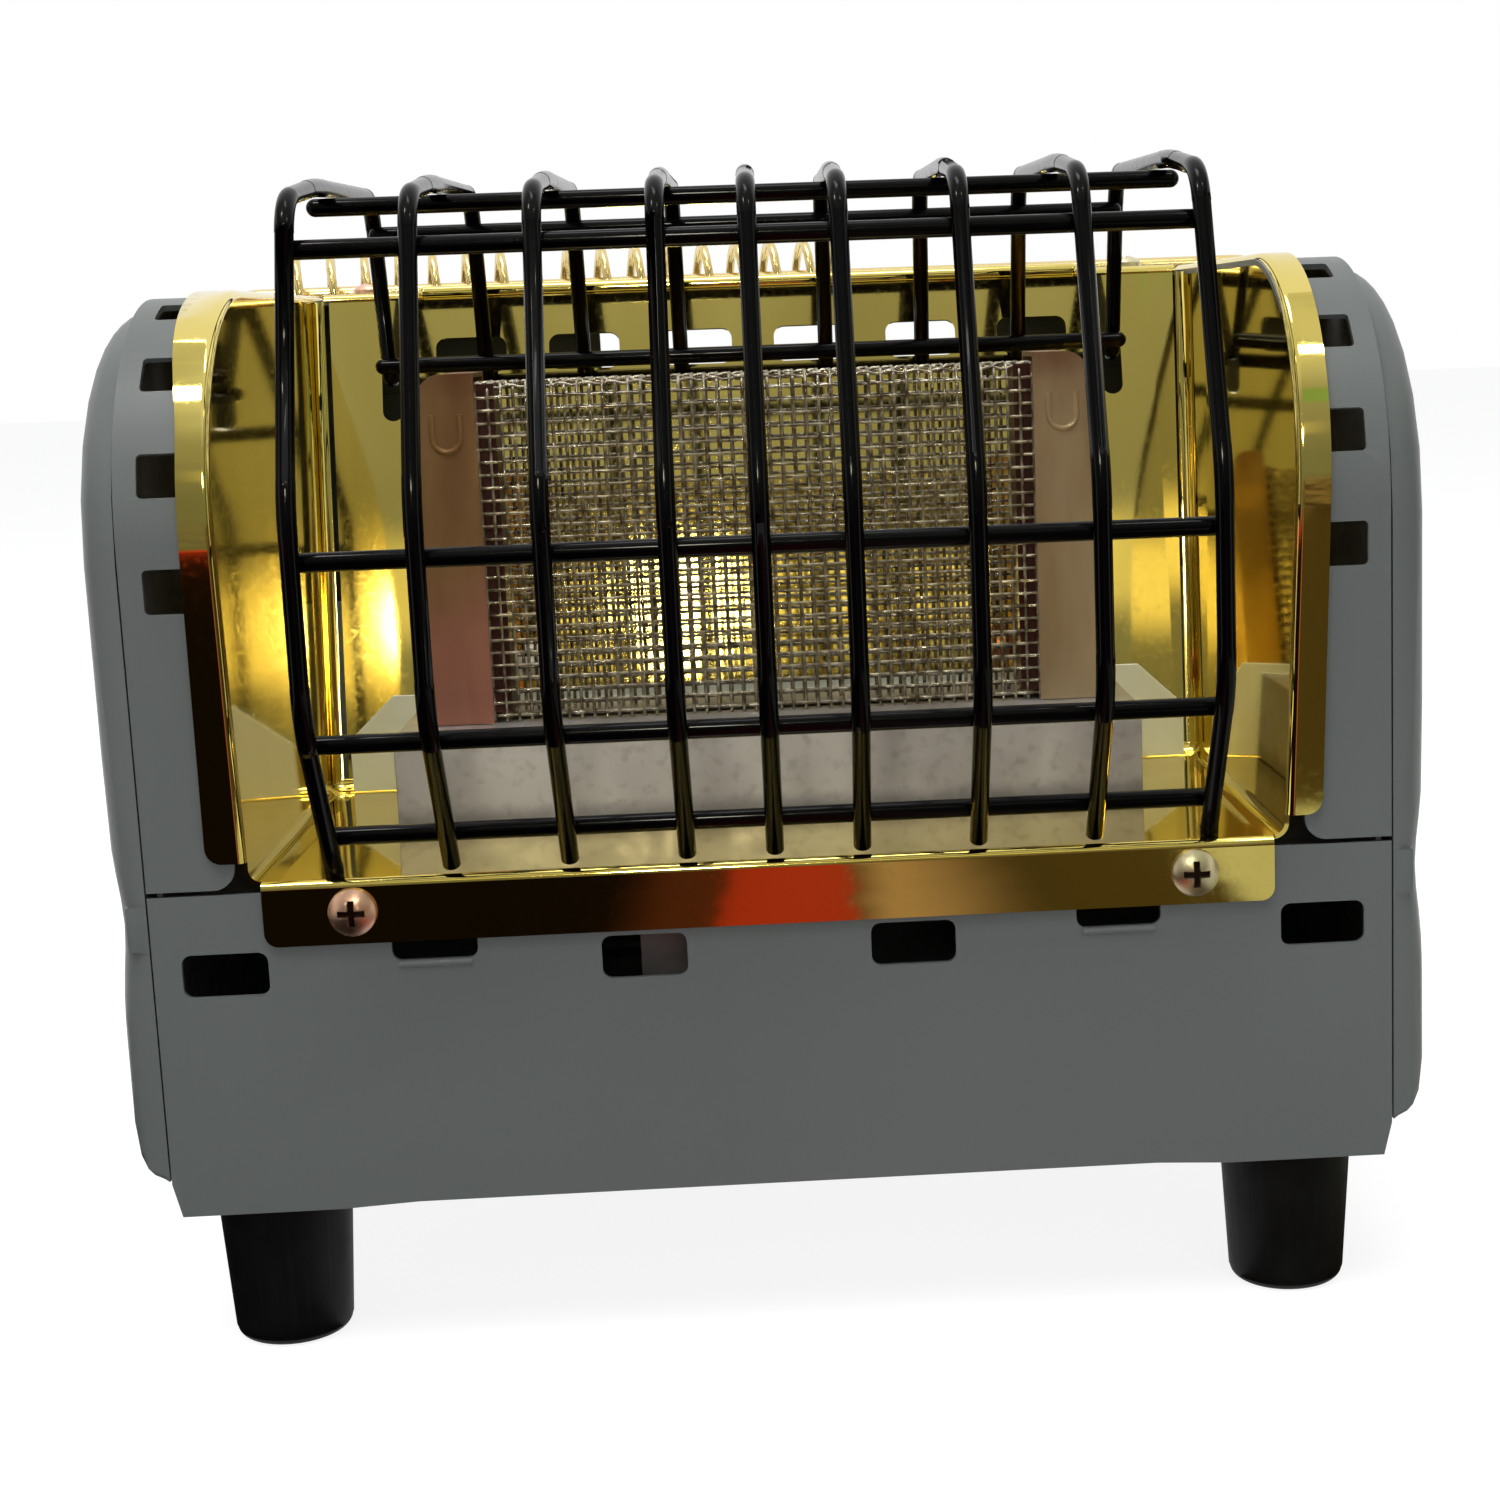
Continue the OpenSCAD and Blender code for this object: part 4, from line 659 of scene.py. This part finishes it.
# Painted shade: the cross recesses of the heads are painted dark
head_tone = copper_tint.mix(copper_tint.attribute("recess"), head_tone, colour(52, 40, 34))
copper_tint.put("Base Color", head_tone)
copper_tint.put("Roughness", copper_tint.noise(900, 2) * 0.15 + 0.3)
plated = Finish("zinc_screw", Metallic=1.0, Base_Color=colour(190, 192, 194))
plated.put("Roughness", plated.noise(900, 2) * 0.15 + 0.22)
HEAD_RADIUS, CROSS_RADIUS, CROSS_FLOOR = 0.0040, 0.0024, 0.0007
for node, finish in (
    ("flange_screws", copper_tint), ("top_screws", copper_tint),
    ("cover_screws", plated), ("back_screws", plated), ("foot_screws", plated),
):
    heads = rounded_copy(node, 0.00012)
    if node == "flange_screws":
        # The floor and walls of the crosses are marked and painted dark, as painted shade in the
        # recess
        low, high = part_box(node)
        recess = heads.faces.layers.float.new("recess")
        for face in heads.faces:
            middle = face.calc_center_median()
            beside = abs(middle.x) - (high.x - HEAD_RADIUS)
            from_axis = math.hypot(beside, middle.z - (low.z + high.z) / 2)
            face[recess] = float(from_axis < CROSS_RADIUS and middle.y > low.y + CROSS_FLOOR)
    finished("heads_" + node, heads, finish, "heater", node)


# Gas line and controls: a brass valve, jet and inlet with copper pipes, a plastic
# knob on a steel spindle, and a piezo igniter with a red button.
brass = Finish("brass", Metallic=1.0)
brass_tone = brass.noise(200, 3).between(0.3, 0.7)
brass.put("Base Color", brass.mix(brass_tone, colour(206, 170, 92), colour(186, 148, 76)))
brass.put("Roughness", brass.noise(800, 2) * 0.15 + 0.22)
copper = Finish("copper", Metallic=1.0)
copper_tone = copper.noise(150, 3).between(0.3, 0.7)
copper.put("Base Color", copper.mix(copper_tone, colour(196, 124, 88), colour(168, 100, 70)))
copper.put("Roughness", copper.noise(500, 2) * 0.2 + 0.22)
turned = Finish("plain_steel", Metallic=1.0, Base_Color=colour(186, 186, 188))
turned.put("Roughness", turned.noise(600, 2) * 0.15 + 0.25)
knob_plastic = Finish("knob_plastic", Base_Color=colour(24, 24, 25))
knob_plastic.put("Roughness", knob_plastic.noise(500, 2) * 0.1 + 0.4)
knob_plastic.bump(knob_plastic.noise(1600, 2), 0.00004, 0.4)
moulded = Finish("igniter_plastic", Base_Color=colour(20, 20, 21))
moulded.put("Roughness", moulded.noise(500, 2) * 0.1 + 0.3)
red = Finish("red_plastic", Base_Color=colour(178, 26, 20))
red.put("Roughness", red.noise(500, 2) * 0.08 + 0.28)
glaze = Finish("ceramic", Base_Color=colour(236, 233, 222), Coat_Weight=0.5)
glaze.put("Roughness", glaze.noise(400, 2) * 0.1 + 0.25)
sleeve = Finish("lead_insulation", Base_Color=colour(32, 32, 33))
sleeve.put("Roughness", sleeve.noise(400, 2) * 0.1 + 0.5)
for finish, body, nodes in (
    (brass, "heater", ("gas_jet", "valve_body", "inlet_fitting")),
    (copper, "heater", ("outlet_pipe", "inlet_pipe", "thermocouple", "sensor_lead")),
    (turned, "knob_carrier", ("spindle_collar",)),
    (turned, "knob", ("valve_spindle",)),
    (knob_plastic, "knob", ("control_knob",)),
    (knob_plastic, "heater", ("handle_bush_left", "handle_bush_right")),
    (moulded, "heater", ("igniter_body",)),
    (red, "ignition_button", ("igniter_button",)),
    (glaze, "heater", ("spark_electrode",)),
    (sleeve, "heater", ("ignition_lead",)),
):
    for node in nodes:
        finished("fitted_" + node, rounded_copy(node, 0.0002), finish, body, node)


# Studio: a white floor and background, one broad soft light overhead and a weak one
# in front. A dark flag round the front of the set, for mirror reflections alone, is
# painted with what the bright reflector sees: dark ground, a dim room, a few lamps.
def stage(name, shape, material):
    """A piece of the set: the floor or a flag, which isn't part of the heater."""
    mesh = bpy.data.meshes.new(name)
    shape.to_mesh(mesh)
    shape.free()
    mesh.materials.append(material)
    piece = bpy.data.objects.new(name, mesh)
    bpy.context.scene.collection.objects.link(piece)
    return piece


def seen_white(nodes, links, lit, white, output):
    """Shows the white shader to camera, mirror and glass rays, and the lit one to all others."""
    path = nodes.new("ShaderNodeLightPath")
    seen = path.outputs["Is Camera Ray"]
    for kind in ("Is Glossy Ray", "Is Transmission Ray"):
        either = nodes.new("ShaderNodeMath")
        either.operation = "MAXIMUM"
        links.new(seen, either.inputs[0])
        links.new(path.outputs[kind], either.inputs[1])
        seen = either.outputs[0]
    mix = nodes.new("ShaderNodeMixShader")
    links.new(seen, mix.inputs[0])
    links.new(lit, mix.inputs[1])
    links.new(white, mix.inputs[2])
    links.new(mix.outputs[0], output)


paper = bpy.data.materials.new("floor_paper")
paper.use_nodes = True
paper_nodes, paper_links = paper.node_tree.nodes, paper.node_tree.links
dull = paper_nodes.new("ShaderNodeBsdfDiffuse")
dull.inputs["Color"].default_value = (0.6, 0.6, 0.6, 1)
faint = paper_nodes.new("ShaderNodeBsdfDiffuse")
faint.inputs["Color"].default_value = (0.25, 0.25, 0.25, 1)
glow = paper_nodes.new("ShaderNodeEmission")
glow.inputs["Strength"].default_value = 0.86
both = paper_nodes.new("ShaderNodeAddShader")
paper_links.new(faint.outputs[0], both.inputs[0])
paper_links.new(glow.outputs[0], both.inputs[1])
seen_white(paper_nodes, paper_links, dull.outputs[0], both.outputs[0],
           paper_nodes["Material Output"].inputs["Surface"])
floor_shape = bmesh.new()
bmesh.ops.create_grid(floor_shape, x_segments=1, y_segments=1, size=6)
stage("floor", floor_shape, paper)

world = bpy.data.worlds.new("studio")
bpy.context.scene.world = world
world.use_nodes = True
world_nodes, world_links = world.node_tree.nodes, world.node_tree.links
ambient = world_nodes["Background"]
ambient.inputs["Color"].default_value = (0.95, 1.0, 1.0, 1)
ambient.inputs["Strength"].default_value = 0.37
backdrop = world_nodes.new("ShaderNodeBackground")
backdrop.inputs["Color"].default_value = (1, 1, 1, 1)
backdrop.inputs["Strength"].default_value = 1.0
seen_white(world_nodes, world_links, ambient.outputs[0], backdrop.outputs[0],
           world_nodes["World Output"].inputs["Surface"])

# The flag is a card on the ground, from near the heater outwards, and a dome above it
FLAG_REACH, FLAG_HEIGHT, FLAG_POWER = 0.52, 0.09, 50.0
CARD_START, CARD_HEIGHT = 0.10, 0.0012
flag_rows = [(CARD_START, CARD_HEIGHT), (FLAG_REACH, CARD_HEIGHT)]
for k in range(19):
    lift = math.radians(-9.7 + k * 5.0)
    flag_rows.append((FLAG_REACH * math.cos(lift), FLAG_HEIGHT + FLAG_REACH * math.sin(lift)))
turns = [math.radians(-110 + 10 * k) for k in range(23)]
flag_shape = bmesh.new()
grid = []
for reach, z in flag_rows:
    row = [(reach * math.sin(turn), -reach * math.cos(turn), z) for turn in turns]
    grid.append([flag_shape.verts.new(corner) for corner in row])
for lower, upper in zip(grid, grid[1:]):
    for k in range(len(turns) - 1):
        flag_shape.faces.new((lower[k], lower[k + 1], upper[k + 1], upper[k]))
room = Finish("studio_flag", Base_Color=(0, 0, 0, 1), Specular_IOR_Level=0.0, Roughness=1.0,
              Emission_Strength=FLAG_POWER)
across, up = room.axis("X"), room.axis("Z")
aside = across.maths("ABSOLUTE")


def shine(*levels):
    """A linear colour of light as the flag's shader takes it."""
    return (*[level / FLAG_POWER for level in levels], 1)


def lamp(picture, point, inner, outer, level):
    """Paints a lamp of this brightness round a point of the flag."""
    away = room.add("VectorMath", {"operation": "DISTANCE"}, {0: room.place, 1: point}, 1)
    return room.mix(away.between(inner, outer), shine(*level), picture)


# The room's wall is brighter upwards, greenish at its right and brown low down
wall = room.mix(up.between(0.25, 0.46), shine(0.20, 0.205, 0.16), shine(0.36, 0.36, 0.29))
wall = room.mix(up.between(0.43, 0.54), wall, shine(0.75, 0.75, 0.65))
wall = room.mix(room.noise(7, 3).between(0.45, 0.75) * 0.35, wall, shine(0.12, 0.12, 0.09))
greenish = across.between(0.20, 0.32) * (1.0 - up.between(0.40, 0.45)) * 0.7
wall = room.mix(greenish, wall, shine(0.20, 0.27, 0.12))
mottled = room.noise(55, 4).between(0.42, 0.6)
low_wall = room.mix(mottled, shine(0.22, 0.16, 0.10), shine(0.05, 0.03, 0.02))
brown = (1.0 - up.between(0.17, 0.22)) * (across.between(-0.20, 0.15) + 0.25)
wall = room.mix(brown, wall, low_wall)

# The ground is near black, with patches of cloth and a pale one at its right
ground = room.mix(
    across.between(0.03, 0.09), shine(0.006, 0.004, 0.003), shine(0.07, 0.05, 0.02))
ripple = across + room.noise(45, 4) * 0.016 - 0.008
for start, end, blur, level in (
    (-0.050, -0.020, 0.025, (0.07, 0.020, 0.012)),
    (0.016, 0.030, 0.050, (0.42, 0.28, 0.22)),
    (-0.018, 0.020, 0.004, (0.38, 0.035, 0.02)),
):
    patch = ripple.between(start, start + min(blur, 0.02))
    patch = patch * (1.0 - ripple.between(end, end + blur))
    ground = room.mix(patch, ground, shine(*level))
pale = (across + room.noise(60, 3) * 0.02).between(0.136, 0.142)
pale = pale * (1.0 - up.between(0.002, 0.004))
ground = room.mix(pale, ground, shine(0.55, 0.55, 0.45))

# Wall and ground meet in a red stripe, between two bright edges and under a beam
picture = room.mix((up + room.noise(30, 3) * 0.012).between(0.104, 0.112), ground, wall)
stripe = up.between(0.100, 0.102) * (1.0 - across.between(-0.15, -0.12))
stripe = stripe * (1.0 - up.between(0.107, 0.109))
picture = room.mix(stripe, picture, shine(0.6, 0.04, 0.02))
bright_edge = aside.between(0.39, 0.41) * (1.0 - aside.between(0.46, 0.48))
picture = room.mix(bright_edge, picture, shine(1.1, 1.05, 0.95))
beam = 1.0 - (up - 0.350).maths("ABSOLUTE").between(0.008, 0.024)
beam = beam * (1.0 - aside.between(0.10, 0.19)) * 0.8
picture = room.mix(beam, picture, shine(1.6, 1.4, 0.7))
for point, inner, outer, level in (
    ((-0.176, -0.180, 0.545), 0.020, 0.032, (40.0, 39.0, 37.0)),
    ((-0.034, -0.448, 0.351), 0.028, 0.056, (1.25, 1.05, 0.45)),
    ((-0.034, -0.448, 0.351), 0.020, 0.029, (80.0, 77.0, 62.0)),
    ((0.048, -0.438, 0.335), 0.003, 0.017, (2.6, 2.2, 0.9)),
    ((0.175, -0.205, 0.533), 0.012, 0.020, (30.0, 29.0, 27.0)),
    ((0.175, -0.350, 0.440), 0.018, 0.032, (0.26, 0.42, 0.18)),
):
    picture = lamp(picture, point, inner, outer, level)
room.put("Emission Color", picture)
flag = stage("front_flag", flag_shape, room.material)
flag.visible_camera = flag.visible_diffuse = False
flag.visible_transmission = flag.visible_shadow = False


def soft_light(name, place, size, power):
    """A square area light that faces the heater's middle."""
    data = bpy.data.lights.new(name, "AREA")
    data.size, data.energy = size, power
    light = bpy.data.objects.new(name, data)
    light.location = place
    aim = Vector((0, 0, 0.1)) - Vector(place)
    light.rotation_euler = aim.to_track_quat("-Z", "Y").to_euler()
    bpy.context.scene.collection.objects.link(light)


soft_light("overhead", (-0.2, -0.35, 1.5), 1.2, 27)
soft_light("front_fill", (0.3, -1.4, 0.5), 0.8, 2.2)
bpy.context.scene.view_settings.view_transform = "Standard"
